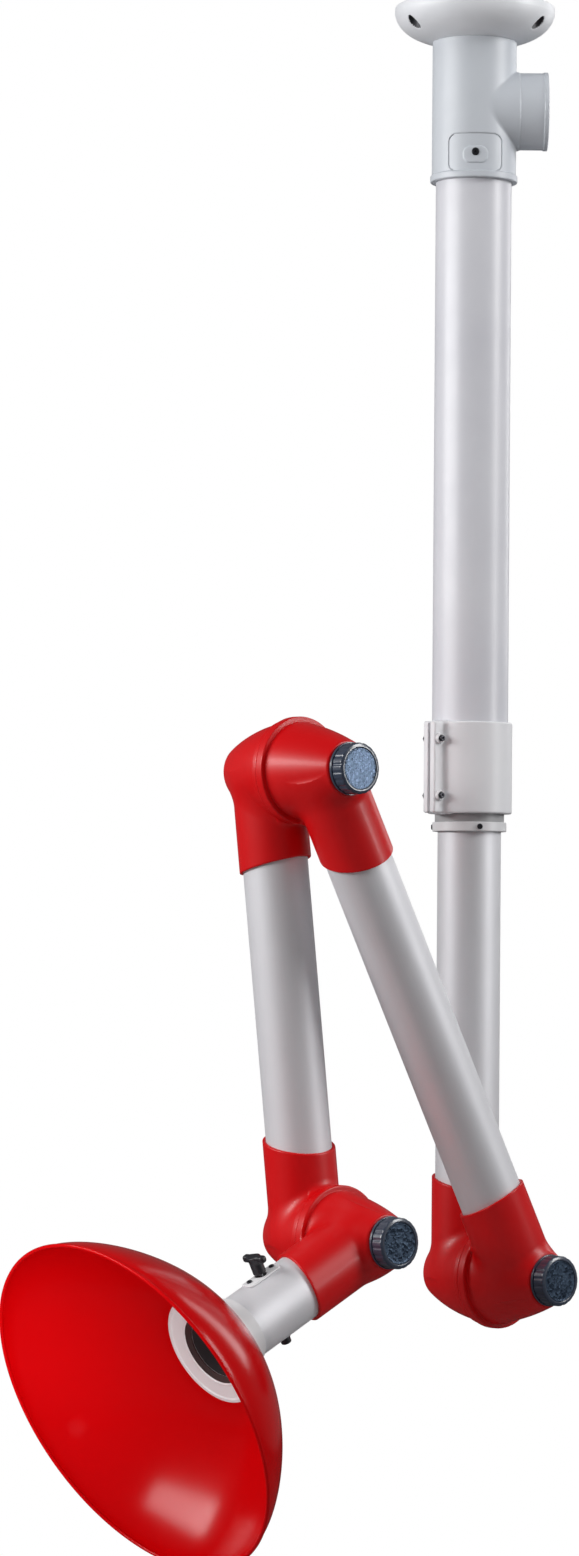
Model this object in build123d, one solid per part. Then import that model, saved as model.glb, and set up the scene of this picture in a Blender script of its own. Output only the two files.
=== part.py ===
from build123d import *
from math import cos, radians, sin
import os

# Ceiling-hung fume extraction arm, in millimetres. The origin is the centre of the
# ceiling flange's mounting face, +Z is up and the arm hangs along -Z, reaching to -X.

# Driving dimensions of the layout
shoulder_drop = 1502.0
first_arm_length = 663.0
second_arm_length = 535.0
hood_reach = 375.0
first_arm_lean_deg = 28.44
second_arm_lean_deg = 6.98
hood_dip_deg = 27.0
plane_offset = 96.0
duct_radius = 37.5
duct_wall = 1.5

# Fits and cuts
running_clearance = 0.08
seat_clearance = 0.1
working_gap = 0.3
overrun = 300.0

# Ceiling flange
flange_radius = 95.0
flange_thickness = 9.0
flange_hub_depth = 42.0
flange_belly_radius = 90.0
flange_belly_depth = 34.0
flange_pocket_outer_radius = 73.0
flange_pocket_inner_radius = 57.0
flange_pocket_depth = 20.0
flange_spigot_length = 14.0
flange_spigot_wall = 6.0
flange_bore_depth = 20.0
ceiling_bolt_circle_radius = 84.0
ceiling_bolt_hole_radius = 4.5
bolt_seat_radius = 6.8
bolt_seat_depth = 17.0
ceiling_bolt_count = 3
ceiling_bolt_start_deg = -71.0
flange_edge_round = 1.5

# Tee body under the flange, with the spigot for the house duct
tee_radius = 50.0
tee_bottom = -210.0
tee_bead_height = 8.0
tee_bead_proud = 1.8
branch_radius = 45.5
branch_wall = 2.0
branch_root_radius = 46.5
branch_root_reach = 53.0
branch_reach = 87.0
branch_height = -124.0
branch_heading_deg = -41.0
tee_screw_height = -180.0
tee_screw_heading_deg = -131.0
tee_screw_count = 2
pocket_depth = 1.2
pocket_width = 62.0
pocket_height = 44.0
pocket_corner = 9.0

# Small screws of the column
screw_radius = 2.5
screw_head_radius = 4.6
screw_head_height = 2.6
screw_drive_radius = 1.6

# Outer tube of the telescopic column
outer_tube_radius = 45.0
outer_tube_wall = 1.8
outer_tube_top = -174.0

# Clamp collar at the outer tube's lower end
collar_radius = 50.0
collar_top = -852.0
collar_bottom = -960.0
collar_lip = 12.0
collar_slit = 3.0
collar_edge_round = 2.0
lug_reach = 66.0
lug_thickness = 8.5
lug_edge_round = 3.0
clamp_screw_offset = 58.5
clamp_screw_inset = 20.5
clamp_screw_radius = 2.5
clamp_head_radius = 3.6
clamp_head_height = 4.0
clamp_nut_width = 8.0
clamp_nut_height = 4.0
boss_radius = 6.4
boss_height = 2.6

# Guide bush and stop ring at the bottom of the column
bush_top = -890.0
bush_neck_radius = 41.0
stop_ring_radius = 43.8
stop_ring_top = -970.0
stop_ring_bottom = -981.0
ring_screw_count = 3
ring_screw_heading_deg = -117.0
ring_screw_radius = 2.2
ring_screw_head_radius = 3.3
ring_screw_proud = 2.4

# Slide guide and its retaining rings at the top of the drop tube
drop_tube_top = -590.0
guide_ring_top = -602.0
guide_ring_height = 42.0
retaining_ring_height = 4.0
retaining_ring_width = 3.6

# Turning joint housings, the same at shoulder, elbow and wrist
face_gap = 2.4
front_rim_radius = 61.0
front_rim_depth = 12.0
front_shoulder_radius = 55.0
front_waist_radius = 44.0
front_end_radius = 31.5
back_rim_radius = 58.0
back_rim_depth = 8.5
back_shoulder_radius = 55.5
back_waist_radius = 44.5
back_end_radius = 30.0
housing_depth = 91.0
waist_depth = 57.0
housing_wall = 3.5
end_round = 4.0
rim_round = 1.5
joint_opening_radius = 46.0
spider_seat_radius = 49.5
spider_thickness = 3.0
spider_arm_width = 9.0
spider_hub_radius = 12.0
spider_arm_count = 3
socket_radius = 41.5
socket_reach = 108.0
socket_slope = 0.25
tube_stop = 62.0
socket_throat_radius = 33.5

# Pivot bolt, springs, nut and knob of each joint
bolt_radius = 6.0
bolt_chamfer = 1.0
disc_spring_count = 4
disc_spring_radius = 12.5
disc_spring_thickness = 1.2
disc_spring_cone = 1.4
disc_spring_pitch = 2.7
lock_nut_width = 19.0
lock_nut_height = 10.0
bolt_back_overhang = 3.0
bolt_end_cover = 6.0
knob_washer_radius = 30.0
knob_washer_height = 4.5
knob_washer_lip = 1.5
knob_radius = 29.0
knob_height = 15.5
knob_dome = 3.5
knob_dish = 0.8
knob_grip_count = 10
knob_grip_radius = 6.0
knob_grip_depth = 1.3
friction_ring_width = 6.6

# Hood and its nozzle
hood_radius = 199.5
hood_depth_share = 0.332
hood_side_depth = 30.0
hood_back_width = 52.0
hood_wall = 1.6
hood_bead_radius = 2.2
hood_neck_radius = 65.5
curve_wall_share = 0.55
nozzle_flange_thickness = 11.0
nozzle_face_width = 9.0
nozzle_sleeve_share = 0.305
nozzle_sleeve_wall = 3.0
nozzle_flare_depth = 8.0
nozzle_lip = 3.0
rivet_count = 3
rivet_radius = 1.6
rivet_head_radius = 3.4
rivet_head_height = 1.3
rivet_depth = 4.0

# Damper in the hood tube
damper_share = 0.435
damper_gap = 0.8
blade_thickness = 1.5
spindle_radius = 3.0
spindle_slot_clearance = 0.05
spindle_top_reach = 22.0
spindle_bottom_reach = 8.0
spindle_bush_radius = 5.0
spindle_bush_flange_radius = 7.0
spindle_bush_flange_height = 2.0
saddle_length = 50.0
saddle_width = 19.0
saddle_height = 2.6
saddle_screw_spacing = 36.0
saddle_screw_radius = 1.8
saddle_screw_head_radius = 3.2
saddle_screw_head_height = 1.8
handle_hub_radius = 7.5
handle_hub_height = 22.0
handle_length = 34.0
handle_width = 9.0
handle_bar_height = 8.5
handle_round = 3.0
cap_radius = 6.0
cap_height = 7.0

# Sizes that follow from the ones above
duct_bore_radius = duct_radius - duct_wall
outer_bore_radius = outer_tube_radius - outer_tube_wall
socket_bore_radius = duct_radius + seat_clearance
tee_bore_radius = outer_tube_radius + seat_clearance
branch_bore_radius = branch_radius - branch_wall
half_offset = plane_offset / 2
face_depth = face_gap / 2
collar_bore_radius = outer_tube_radius + seat_clearance
outer_tube_bottom = collar_bottom + collar_lip
spring_stack = disc_spring_count * disc_spring_pitch
nut_start = face_depth + spider_thickness + spring_stack
bolt_back_end = nut_start + lock_nut_height + bolt_back_overhang
knob_start = housing_depth + knob_washer_height + working_gap
bolt_front_end = knob_start + knob_height - bolt_end_cover
hood_depth = hood_reach * hood_depth_share
nozzle_front = hood_reach - hood_depth
nozzle_back = nozzle_front - nozzle_flange_thickness
hood_tube_end = nozzle_front - nozzle_flare_depth
nozzle_sleeve_end = hood_tube_end - hood_depth * nozzle_sleeve_share
damper_reach = socket_reach + (nozzle_sleeve_end - socket_reach) * damper_share
blade_radius = duct_bore_radius - damper_gap

# Places of the three pivots and the headings of the ducts between them
first_arm_heading = Vector(-sin(radians(first_arm_lean_deg)), 0, cos(radians(first_arm_lean_deg)))
second_arm_heading = Vector(sin(radians(second_arm_lean_deg)), 0, -cos(radians(second_arm_lean_deg)))
hood_heading = Vector(-cos(radians(hood_dip_deg)), 0, -sin(radians(hood_dip_deg)))
damper_heading = Vector(-sin(radians(hood_dip_deg)), 0, cos(radians(hood_dip_deg)))
up = Vector(0, 0, 1)
back = Vector(0, 1, 0)
front = Vector(0, -1, 0)
shoulder = Vector(0, 0, -shoulder_drop)
elbow = shoulder + first_arm_heading * first_arm_length
wrist = elbow + second_arm_heading * second_arm_length
to_front = front * plane_offset
to_middle = front * half_offset


def turned(outline):
    """Turn a closed outline of radius and height about the Z axis."""
    return revolve(Plane.XZ * make_face(outline), Axis.Z)


def rod(radius, low, high):
    """Round bar on the Z axis between two heights."""
    return Pos(0, 0, low) * extrude(Circle(radius), high - low)


def ring(outer, inner, low, high):
    """Round ring on the Z axis between two heights."""
    return Pos(0, 0, low) * extrude(Circle(outer) - Circle(inner), high - low)


def framed(origin, across, along, shape):
    """Put a shape drawn on X and Z into a frame whose X and Z are across and along."""
    return Plane(origin=origin, x_dir=across, z_dir=along).location * shape


def radial(heading_deg, height, shape):
    """Turn a shape drawn along Z to point outwards along X, at a heading and a height."""
    return Pos(0, 0, height) * Rot(0, 0, heading_deg) * Rot(0, 90, 0) * shape


def capped_screw(shank, shank_length, head, head_height):
    """Screw along +Z with its head's seat at zero and a drive recess on top."""
    body = rod(shank, -shank_length, 0) + rod(head, 0, head_height)
    edges = body.edges().group_by(Axis.Z)[-1]
    body = fillet(edges, head_height / 3)
    recess = rod(head * screw_drive_radius / screw_head_radius, head_height / 2, overrun)
    return body - recess


def ceiling_flange():
    """Cast bell-shaped flange with seated bolt holes, a pocket on top and a locating spigot."""
    outline = Polyline((tee_radius, -flange_hub_depth), (0, -flange_hub_depth), (0, 0), (flange_radius, 0))
    outline += Line((flange_radius, 0), (flange_radius, -flange_thickness))
    outline += Bezier(
        (flange_radius, -flange_thickness),
        (flange_belly_radius, -flange_belly_depth),
        (tee_radius, -flange_hub_depth),
    )
    body = turned(outline)
    circles = body.edges().filter_by(GeomType.CIRCLE)
    rim = [e for e in circles if e.radius > flange_radius - flange_edge_round]
    body = fillet([e for e in rim if e.center().Z > -flange_edge_round], flange_edge_round)
    spigot_radius = tee_bore_radius - seat_clearance
    body += rod(spigot_radius, -flange_hub_depth - flange_spigot_length, -flange_hub_depth)
    body -= rod(spigot_radius - flange_spigot_wall, -overrun, -flange_hub_depth + flange_bore_depth)
    body -= ring(flange_pocket_outer_radius, flange_pocket_inner_radius, -flange_pocket_depth, overrun)
    for number in range(ceiling_bolt_count):
        heading = ceiling_bolt_start_deg + number * 360 / ceiling_bolt_count
        hole = rod(ceiling_bolt_hole_radius, -flange_hub_depth, overrun)
        hole += rod(bolt_seat_radius, -flange_hub_depth, -bolt_seat_depth)
        body -= Rot(0, 0, heading) * Pos(ceiling_bolt_circle_radius, 0, 0) * hole
    return body


def tee_body():
    """Round body with a side spigot, a bead at its foot and pressed screw pockets."""
    body = rod(tee_radius, tee_bottom, -flange_hub_depth)
    body += rod(tee_radius + tee_bead_proud, tee_bottom, tee_bottom + tee_bead_height)
    circles = body.edges().filter_by(GeomType.CIRCLE)
    body = fillet([e for e in circles if e.radius > tee_radius + tee_bead_proud / 2], tee_bead_proud / 2)
    branch = rod(branch_radius, 0, branch_reach) + rod(branch_root_radius, 0, branch_root_reach)
    body += radial(branch_heading_deg, branch_height, branch)
    body -= rod(tee_bore_radius, tee_bottom - overrun, overrun)
    body -= radial(branch_heading_deg, branch_height, rod(branch_bore_radius, 0, overrun))
    window = extrude(RectangleRounded(pocket_height, pocket_width, pocket_corner), overrun)
    shell = ring(tee_radius + overrun, tee_radius - pocket_depth, tee_bottom, -flange_hub_depth)
    hole = rod(screw_radius + seat_clearance, 0, overrun)
    for number in range(tee_screw_count):
        heading = tee_screw_heading_deg + number * 360 / tee_screw_count
        body -= shell & radial(heading, tee_screw_height, window)
        body -= radial(heading, tee_screw_height, hole)
    return body


def tee_screws():
    """Screws that hold the outer tube in the tee body."""
    seat = tee_radius - pocket_depth
    length = seat - outer_bore_radius + outer_tube_wall
    screw = capped_screw(screw_radius, length, screw_head_radius, screw_head_height)
    screw = Pos(0, 0, seat + seat_clearance) * screw
    step = 360 / tee_screw_count
    return [
        radial(tee_screw_heading_deg + number * step, tee_screw_height, screw)
        for number in range(tee_screw_count)
    ]


def outer_tube():
    """Fixed tube of the telescopic column, drilled for the tee screws."""
    body = ring(outer_tube_radius, outer_bore_radius, outer_tube_bottom, outer_tube_top)
    for number in range(tee_screw_count):
        heading = tee_screw_heading_deg + number * 360 / tee_screw_count
        body -= radial(heading, tee_screw_height, rod(screw_radius + seat_clearance, 0, overrun))
    return body


def clamp_screw_heights():
    """Heights of the two clamp screws on the collar."""
    return (collar_top - clamp_screw_inset, collar_bottom + clamp_screw_inset)


def clamp_collar():
    """Split clamp round the outer tube, with a pair of lugs and a lip that carries the bush."""
    body = rod(collar_radius, collar_bottom, collar_top)
    lug_width = collar_slit + 2 * lug_thickness
    lug_outline = Pos(-lug_reach / 2, 0) * Rectangle(lug_reach, lug_width)
    lug = Pos(0, 0, collar_bottom) * extrude(lug_outline, collar_top - collar_bottom)
    outer_edges = lug.edges().filter_by(Axis.Z).group_by(Axis.X)[0]
    body += fillet(outer_edges, lug_edge_round)
    body = fillet(body.edges().group_by(Axis.Z)[-1] + body.edges().group_by(Axis.Z)[0], collar_edge_round)
    body -= rod(collar_bore_radius, outer_tube_bottom, overrun)
    body -= rod(bush_neck_radius + seat_clearance, collar_bottom - overrun, overrun)
    slit = Pos(-lug_reach, 0) * Rectangle(2 * (lug_reach - bush_neck_radius), collar_slit)
    body -= Pos(0, 0, collar_bottom - overrun) * extrude(slit, 2 * overrun)
    for height in clamp_screw_heights():
        hole = rod(clamp_screw_radius + seat_clearance, -overrun, overrun)
        body -= Pos(-clamp_screw_offset, 0, height) * Rot(90, 0, 0) * hole
    return body


def clamp_row(shape):
    """Put a copy of a shape drawn along Z at each clamp screw, pointing to -Y."""
    return [Pos(-clamp_screw_offset, 0, height) * Rot(90, 0, 0) * shape for height in clamp_screw_heights()]


def clamp_screws():
    """Cap screws across the collar's slit."""
    face = collar_slit / 2 + lug_thickness
    length = 2 * face + boss_height + clamp_nut_height + seat_clearance
    screw = capped_screw(clamp_screw_radius, length, clamp_head_radius, clamp_head_height)
    return clamp_row(Pos(0, 0, face + boss_height) * screw)


def boss_washers():
    """Light washers with a raised rim under the clamp screws' heads."""
    face = collar_slit / 2 + lug_thickness
    outline = Polyline(
        (clamp_screw_radius + seat_clearance, face),
        (boss_radius, face),
        (boss_radius - boss_height / 3, face + boss_height * 3 / 2),
        (clamp_head_radius + boss_height / 4, face + boss_height * 3 / 2),
        (clamp_head_radius + boss_height / 4, face + boss_height),
        (clamp_screw_radius + seat_clearance, face + boss_height),
        (clamp_screw_radius + seat_clearance, face),
    )
    return clamp_row(turned(outline))


def clamp_nuts():
    """Hexagon nuts on the far lug."""
    face = collar_slit / 2 + lug_thickness
    hexagon = RegularPolygon(clamp_nut_width / 2, 6, major_radius=False)
    hexagon -= Circle(clamp_screw_radius + seat_clearance)
    return clamp_row(Pos(0, 0, -face - clamp_nut_height) * extrude(hexagon, clamp_nut_height))


def guide_bush():
    """Bush that guides the drop tube at the foot of the outer tube."""
    bore = duct_radius + running_clearance
    body = ring(outer_bore_radius - seat_clearance, bore, outer_tube_bottom, bush_top)
    body += ring(bush_neck_radius, bore, stop_ring_bottom, outer_tube_bottom)
    return body


def stop_ring():
    """Ring under the collar that keeps the bush in and pinches it with three screws."""
    body = ring(stop_ring_radius, bush_neck_radius + seat_clearance / 2, stop_ring_bottom, stop_ring_top)
    circles = body.edges().filter_by(GeomType.CIRCLE)
    rim = [e for e in circles if e.radius > stop_ring_radius - seat_clearance]
    body = fillet(rim, (stop_ring_radius - bush_neck_radius) / 4)
    height = (stop_ring_top + stop_ring_bottom) / 2
    for number in range(ring_screw_count):
        heading = ring_screw_heading_deg + number * 360 / ring_screw_count
        body -= radial(heading, height, rod(ring_screw_radius + seat_clearance, 0, overrun))
    return body


def ring_screws():
    """Screws of the stop ring, with their tips on the bush."""
    height = (stop_ring_top + stop_ring_bottom) / 2
    length = stop_ring_radius - bush_neck_radius - seat_clearance
    screw = capped_screw(ring_screw_radius, length, ring_screw_head_radius, ring_screw_proud)
    screw = Pos(0, 0, stop_ring_radius) * screw
    step = 360 / ring_screw_count
    return [
        radial(ring_screw_heading_deg + number * step, height, screw)
        for number in range(ring_screw_count)
    ]


def slide_guide_ring():
    """Guide ring that slides in the outer tube and in which the drop tube turns."""
    outer = outer_bore_radius - running_clearance
    inner = duct_radius + running_clearance
    return ring(outer, inner, guide_ring_top - guide_ring_height, guide_ring_top)


def retaining_rings():
    """Rings on the drop tube above and below the guide ring."""
    inner = duct_radius + seat_clearance / 2
    outer = duct_radius + retaining_ring_width
    above = guide_ring_top + working_gap
    below = guide_ring_top - guide_ring_height - working_gap
    return [
        ring(outer, inner, above, above + retaining_ring_height),
        ring(outer, inner, below - retaining_ring_height, below),
    ]


def drop_tube():
    """Sliding tube of the column, down to the shoulder."""
    return ring(duct_radius, duct_bore_radius, -shoulder_drop + tube_stop, drop_tube_top)


def arm_duct(start, end):
    """Straight duct between two housings, short of each pivot by the tube stop."""
    along = (end - start).normalized()
    span = (end - start).length
    return framed(start, back, along, ring(duct_radius, duct_bore_radius, tube_stop, span - tube_stop))


def housing_outline(rim_radius, rim_depth, shoulder_radius, waist_radius, end_radius):
    """Closed outline of a housing's turned body, radius against depth from the joint face."""
    outline = Polyline(
        (0, face_depth),
        (rim_radius, face_depth),
        (rim_radius, rim_depth),
        (shoulder_radius, rim_depth),
    )
    outline += ThreePointArc(
        (shoulder_radius, rim_depth),
        (waist_radius, waist_depth),
        (end_radius, housing_depth),
    )
    outline += Polyline((end_radius, housing_depth), (0, housing_depth), (0, face_depth))
    return outline


def cavity_outline(rim_depth, waist_radius, end_radius):
    """Closed outline of the air space inside a housing's turned body."""
    floor = housing_depth - housing_wall
    outline = Polyline(
        (0, face_depth),
        (spider_seat_radius, face_depth),
        (spider_seat_radius, face_depth + spider_thickness),
        (joint_opening_radius, face_depth + spider_thickness),
        (joint_opening_radius, rim_depth + housing_wall),
    )
    outline += ThreePointArc(
        (joint_opening_radius, rim_depth + housing_wall),
        (waist_radius - housing_wall, waist_depth - housing_wall),
        (end_radius - housing_wall, floor),
    )
    outline += Polyline((end_radius - housing_wall, floor), (0, floor), (0, face_depth))
    return outline


def housing(rim_radius, rim_depth, shoulder_radius, waist_radius, end_radius):
    """Elbow-shaped housing: a turned body about the pivot and a socket at a right angle to it."""
    body = turned(housing_outline(rim_radius, rim_depth, shoulder_radius, waist_radius, end_radius))
    body = fillet(body.edges().group_by(Axis.Z)[-1], end_round)
    rims = [e for e in body.edges().filter_by(GeomType.CIRCLE) if e.radius > rim_radius - seat_clearance]
    body = fillet(rims, rim_round)
    spout = Pos(0, 0, half_offset) * Rot(0, 90, 0) * rod(socket_radius, 0, socket_reach + socket_radius)
    outer = body + spout
    mouth = Plane(
        origin=(socket_reach, 0, half_offset),
        x_dir=(0, 1, 0),
        z_dir=(1, 0, -socket_slope),
    )
    outer -= extrude(mouth * Circle(2 * socket_radius), 2 * socket_radius)
    outer -= turned(cavity_outline(rim_depth, waist_radius, end_radius))
    outer -= Pos(0, 0, half_offset) * Rot(0, 90, 0) * rod(socket_throat_radius, 0, overrun)
    outer -= Pos(0, 0, half_offset) * Rot(0, 90, 0) * rod(socket_bore_radius, tube_stop, overrun)
    return outer


def back_housing():
    """Housing half that holds the pivot bolt."""
    return housing(
        back_rim_radius, back_rim_depth, back_shoulder_radius, back_waist_radius, back_end_radius
    )


def front_housing():
    """Housing half that turns on the pivot bolt and is clamped by the knob."""
    body = housing(
        front_rim_radius, front_rim_depth, front_shoulder_radius, front_waist_radius, front_end_radius
    )
    return body - rod(bolt_radius + running_clearance, half_offset, overrun)


def spider(hole_radius):
    """Three-armed plate that centres the bolt and lets the air past."""
    disc = Circle(spider_seat_radius - seat_clearance)
    plate = disc - Circle(joint_opening_radius)
    arm = Pos(spider_seat_radius / 2, 0) * Rectangle(spider_seat_radius, spider_arm_width)
    for number in range(spider_arm_count):
        plate += (Rot(0, 0, number * 360 / spider_arm_count) * arm) & disc
    plate += Circle(spider_hub_radius)
    plate -= Circle(hole_radius)
    return Pos(0, 0, face_depth) * extrude(plate, spider_thickness)


def friction_ring():
    """Flat ring between the two housing faces, carried by the back half."""
    outer = back_rim_radius - rim_round
    thickness = face_gap - working_gap
    return ring(outer, outer - friction_ring_width, face_depth - thickness, face_depth)


def pivot_bolt():
    """Stud from the lock nut at the back to inside the knob at the front."""
    body = rod(bolt_radius, -bolt_front_end, bolt_back_end)
    return chamfer(body.edges().filter_by(GeomType.CIRCLE), bolt_chamfer)


def disc_springs():
    """Coned washers stacked point to point between the spider and the lock nut."""
    inner = bolt_radius + seat_clearance
    washers = []
    for number in range(disc_spring_count):
        low = face_depth + spider_thickness + number * disc_spring_pitch + seat_clearance / 2
        flip = number % 2
        rise_in = disc_spring_cone * flip
        rise_out = disc_spring_cone - rise_in
        outline = Polyline(
            (inner, low + rise_in),
            (disc_spring_radius, low + rise_out),
            (disc_spring_radius, low + rise_out + disc_spring_thickness),
            (inner, low + rise_in + disc_spring_thickness),
            (inner, low + rise_in),
        )
        washers.append(turned(outline))
    return washers


def lock_nut():
    """Hexagon nut that loads the springs."""
    hexagon = RegularPolygon(lock_nut_width / 2, 6, major_radius=False)
    hexagon -= Circle(bolt_radius + seat_clearance / 2)
    return Pos(0, 0, nut_start) * extrude(hexagon, lock_nut_height)


def knob_washer():
    """Dark cup washer between the front housing and the knob."""
    low = housing_depth
    outline = Polyline(
        (bolt_radius + running_clearance, low),
        (front_end_radius - end_round, low),
        (knob_washer_radius, low + knob_washer_lip),
        (knob_washer_radius, low + knob_washer_height),
        (bolt_radius + running_clearance, low + knob_washer_height),
        (bolt_radius + running_clearance, low),
    )
    return turned(outline)


def tension_knob():
    """Round hand knob with a dished face and shallow grips, bored for the bolt."""
    low = knob_start
    high = knob_start + knob_height
    shoulder_radius = knob_radius - knob_dome
    dish_radius = shoulder_radius - knob_dome
    outline = Polyline((0, high - knob_dish), (0, low), (knob_radius, low), (knob_radius, high - knob_dome))
    outline += ThreePointArc(
        (knob_radius, high - knob_dome),
        (knob_radius - knob_dome / 3, high - knob_dome / 3),
        (shoulder_radius, high),
    )
    outline += Polyline(
        (shoulder_radius, high),
        (dish_radius, high),
        (dish_radius - knob_dish, high - knob_dish),
        (0, high - knob_dish),
    )
    body = turned(outline)
    grip = rod(knob_grip_radius, low - overrun, overrun)
    for number in range(knob_grip_count):
        offset = knob_radius + knob_grip_radius - knob_grip_depth
        body -= Rot(0, 0, number * 360 / knob_grip_count) * Pos(offset, 0, 0) * grip
    bore_end = bolt_front_end + working_gap
    return body - rod(bolt_radius + running_clearance / 2, low - overrun, bore_end)


def hood():
    """Deep spun bell with a rolled rim and a short neck for the nozzle."""
    def bell(wall):
        rim = hood_radius + wall
        low = nozzle_front - wall
        shift = curve_wall_share * wall
        outline = Bezier(
            (rim, hood_reach),
            (rim, hood_reach - hood_side_depth - shift),
            (hood_neck_radius + hood_back_width + shift, low),
            (hood_neck_radius, low),
        )
        outline += Polyline((hood_neck_radius, low), (0, low), (0, hood_reach), (rim, hood_reach))
        return turned(outline)

    body = bell(hood_wall) - bell(0)
    body += turned(Pos(hood_radius + hood_wall, hood_reach) * Circle(hood_bead_radius).wire())
    body += rod(hood_neck_radius + hood_wall, nozzle_back, nozzle_front - hood_wall / 2)
    body -= rod(hood_neck_radius, nozzle_back - overrun, hood_reach)
    for number in range(rivet_count):
        hole = rod(rivet_radius + seat_clearance, 0, 2 * hood_neck_radius)
        body -= radial(number * 360 / rivet_count, (nozzle_back + nozzle_front) / 2, hole)
    return body


def hood_nozzle():
    """Flared adapter on the end of the hood tube that carries the hood's neck."""
    outer = hood_neck_radius - seat_clearance
    sleeve = socket_bore_radius + nozzle_sleeve_wall
    face_inner = outer - nozzle_face_width
    flare_start = hood_tube_end + working_gap
    outline = Polyline(
        (duct_bore_radius, flare_start + nozzle_lip),
        (duct_bore_radius, flare_start),
        (socket_bore_radius, flare_start),
        (socket_bore_radius, nozzle_sleeve_end),
        (sleeve, nozzle_sleeve_end),
        (sleeve, nozzle_back - nozzle_flare_depth),
    )
    outline += ThreePointArc(
        (sleeve, nozzle_back - nozzle_flare_depth),
        (sleeve + nozzle_flare_depth / 4, nozzle_back - nozzle_flare_depth / 4),
        (sleeve + nozzle_flare_depth, nozzle_back),
    )
    outline += Polyline(
        (sleeve + nozzle_flare_depth, nozzle_back),
        (outer, nozzle_back),
        (outer, nozzle_front),
        (face_inner, nozzle_front),
    )
    outline += ThreePointArc(
        (face_inner, nozzle_front),
        ((face_inner + 2 * duct_bore_radius) / 3, nozzle_front - nozzle_lip / 2),
        (duct_bore_radius, flare_start + nozzle_lip),
    )
    body = turned(outline)
    for number in range(rivet_count):
        hole = rod(rivet_radius + seat_clearance, outer - rivet_depth - seat_clearance, 2 * outer)
        body -= radial(number * 360 / rivet_count, (nozzle_back + nozzle_front) / 2, hole)
    return body


def hood_rivets():
    """Rivets through the neck into the nozzle's flange."""
    seat = hood_neck_radius + hood_wall
    shank = rod(rivet_radius, seat - hood_wall - rivet_depth, seat)
    head = rod(rivet_head_radius, seat + seat_clearance, seat + rivet_head_height)
    head = fillet(head.edges().group_by(Axis.Z)[-1], rivet_head_height / 2)
    rivet = shank + head + rod(rivet_radius, seat, seat + rivet_head_height / 2)
    height = (nozzle_back + nozzle_front) / 2
    return [radial(number * 360 / rivet_count, height, rivet) for number in range(rivet_count)]


def across_duct(shape):
    """Lay a shape drawn along Z across the hood tube, at the damper's place."""
    return Pos(0, 0, damper_reach) * Rot(0, 90, 0) * shape


def hood_tube():
    """Duct from the wrist to the nozzle, drilled for the damper's bushes and screws."""
    body = ring(duct_radius, duct_bore_radius, tube_stop, hood_tube_end)
    body -= across_duct(rod(spindle_bush_radius + seat_clearance, -overrun, overrun))
    for side in (-1, 1):
        hole = across_duct(rod(saddle_screw_radius + seat_clearance, 0, overrun))
        body -= Pos(0, 0, side * saddle_screw_spacing / 2) * hole
    return body


def spindle_bushes():
    """Flanged bushes in the duct wall for the damper spindle."""
    start = duct_bore_radius
    bush = rod(spindle_bush_flange_radius, start, duct_radius + spindle_bush_flange_height)
    duct = Rot(0, 90, 0) * rod(duct_radius + seat_clearance / 2, -overrun, overrun)
    bush = (bush - duct) + (rod(spindle_bush_radius, start, duct_radius + spindle_bush_flange_height))
    bush -= rod(spindle_radius + running_clearance, -overrun, overrun)
    return [across_duct(bush), across_duct(Rot(180, 0, 0) * bush)]


def damper_saddle():
    """Curved plate on top of the duct, under the handle."""
    inner = duct_radius + seat_clearance / 2
    shell = ring(inner + saddle_height, inner, damper_reach - saddle_length, damper_reach + saddle_length)
    window = extrude(RectangleRounded(saddle_length, saddle_width, saddle_width / 3), overrun)
    body = shell & across_duct(window)
    body -= across_duct(rod(spindle_bush_flange_radius + seat_clearance, 0, overrun))
    for side in (-1, 1):
        hole = across_duct(rod(saddle_screw_radius + seat_clearance, 0, overrun))
        body -= Pos(0, 0, side * saddle_screw_spacing / 2) * hole
    return body


def saddle_screws():
    """Screws of the saddle."""
    length = saddle_height + 2 * duct_wall
    screw = capped_screw(saddle_screw_radius, length, saddle_screw_head_radius, saddle_screw_head_height)
    seat = duct_radius + saddle_height + seat_clearance
    placed = across_duct(Pos(0, 0, seat) * screw)
    return [Pos(0, 0, side * saddle_screw_spacing / 2) * placed for side in (-1, 1)]


def damper_spindle():
    """Spindle across the duct, slotted for the blade."""
    body = rod(spindle_radius, -duct_radius - spindle_bottom_reach, duct_radius + spindle_top_reach)
    slot_width = blade_thickness + 2 * spindle_slot_clearance
    slot_length = 2 * (blade_radius + spindle_slot_clearance)
    slot = Box(slot_width, overrun, slot_length)
    return across_duct(body - slot)


def damper_blade():
    """Round blade, shown across the duct as in the closed position."""
    return Pos(0, 0, damper_reach - blade_thickness / 2) * extrude(Circle(blade_radius), blade_thickness)


def damper_handle():
    """Wing handle on the top end of the spindle."""
    low = duct_radius + saddle_height + saddle_screw_head_height + working_gap
    high = low + handle_hub_height
    body = rod(handle_hub_radius, low, high)
    bar = Pos(0, 0, high - handle_bar_height) * extrude(
        RectangleRounded(handle_width, handle_length, handle_width / 2 - seat_clearance), handle_bar_height
    )
    bar = fillet(bar.edges().group_by(Axis.Z)[-1], handle_round)
    body += bar
    bore_end = duct_radius + spindle_top_reach + working_gap
    return across_duct(body - rod(spindle_radius + seat_clearance / 2, 0, bore_end))


def spindle_cap():
    """Push-on cap that keeps the spindle's lower end in its bush."""
    low = duct_radius + spindle_bush_flange_height + working_gap
    body = rod(cap_radius, low, low + cap_height)
    body = fillet(body.edges().group_by(Axis.Z)[-1], cap_height / 4)
    body -= rod(spindle_radius + seat_clearance / 2, 0, duct_radius + spindle_bottom_reach + working_gap)
    return across_duct(Rot(180, 0, 0) * body)


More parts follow.
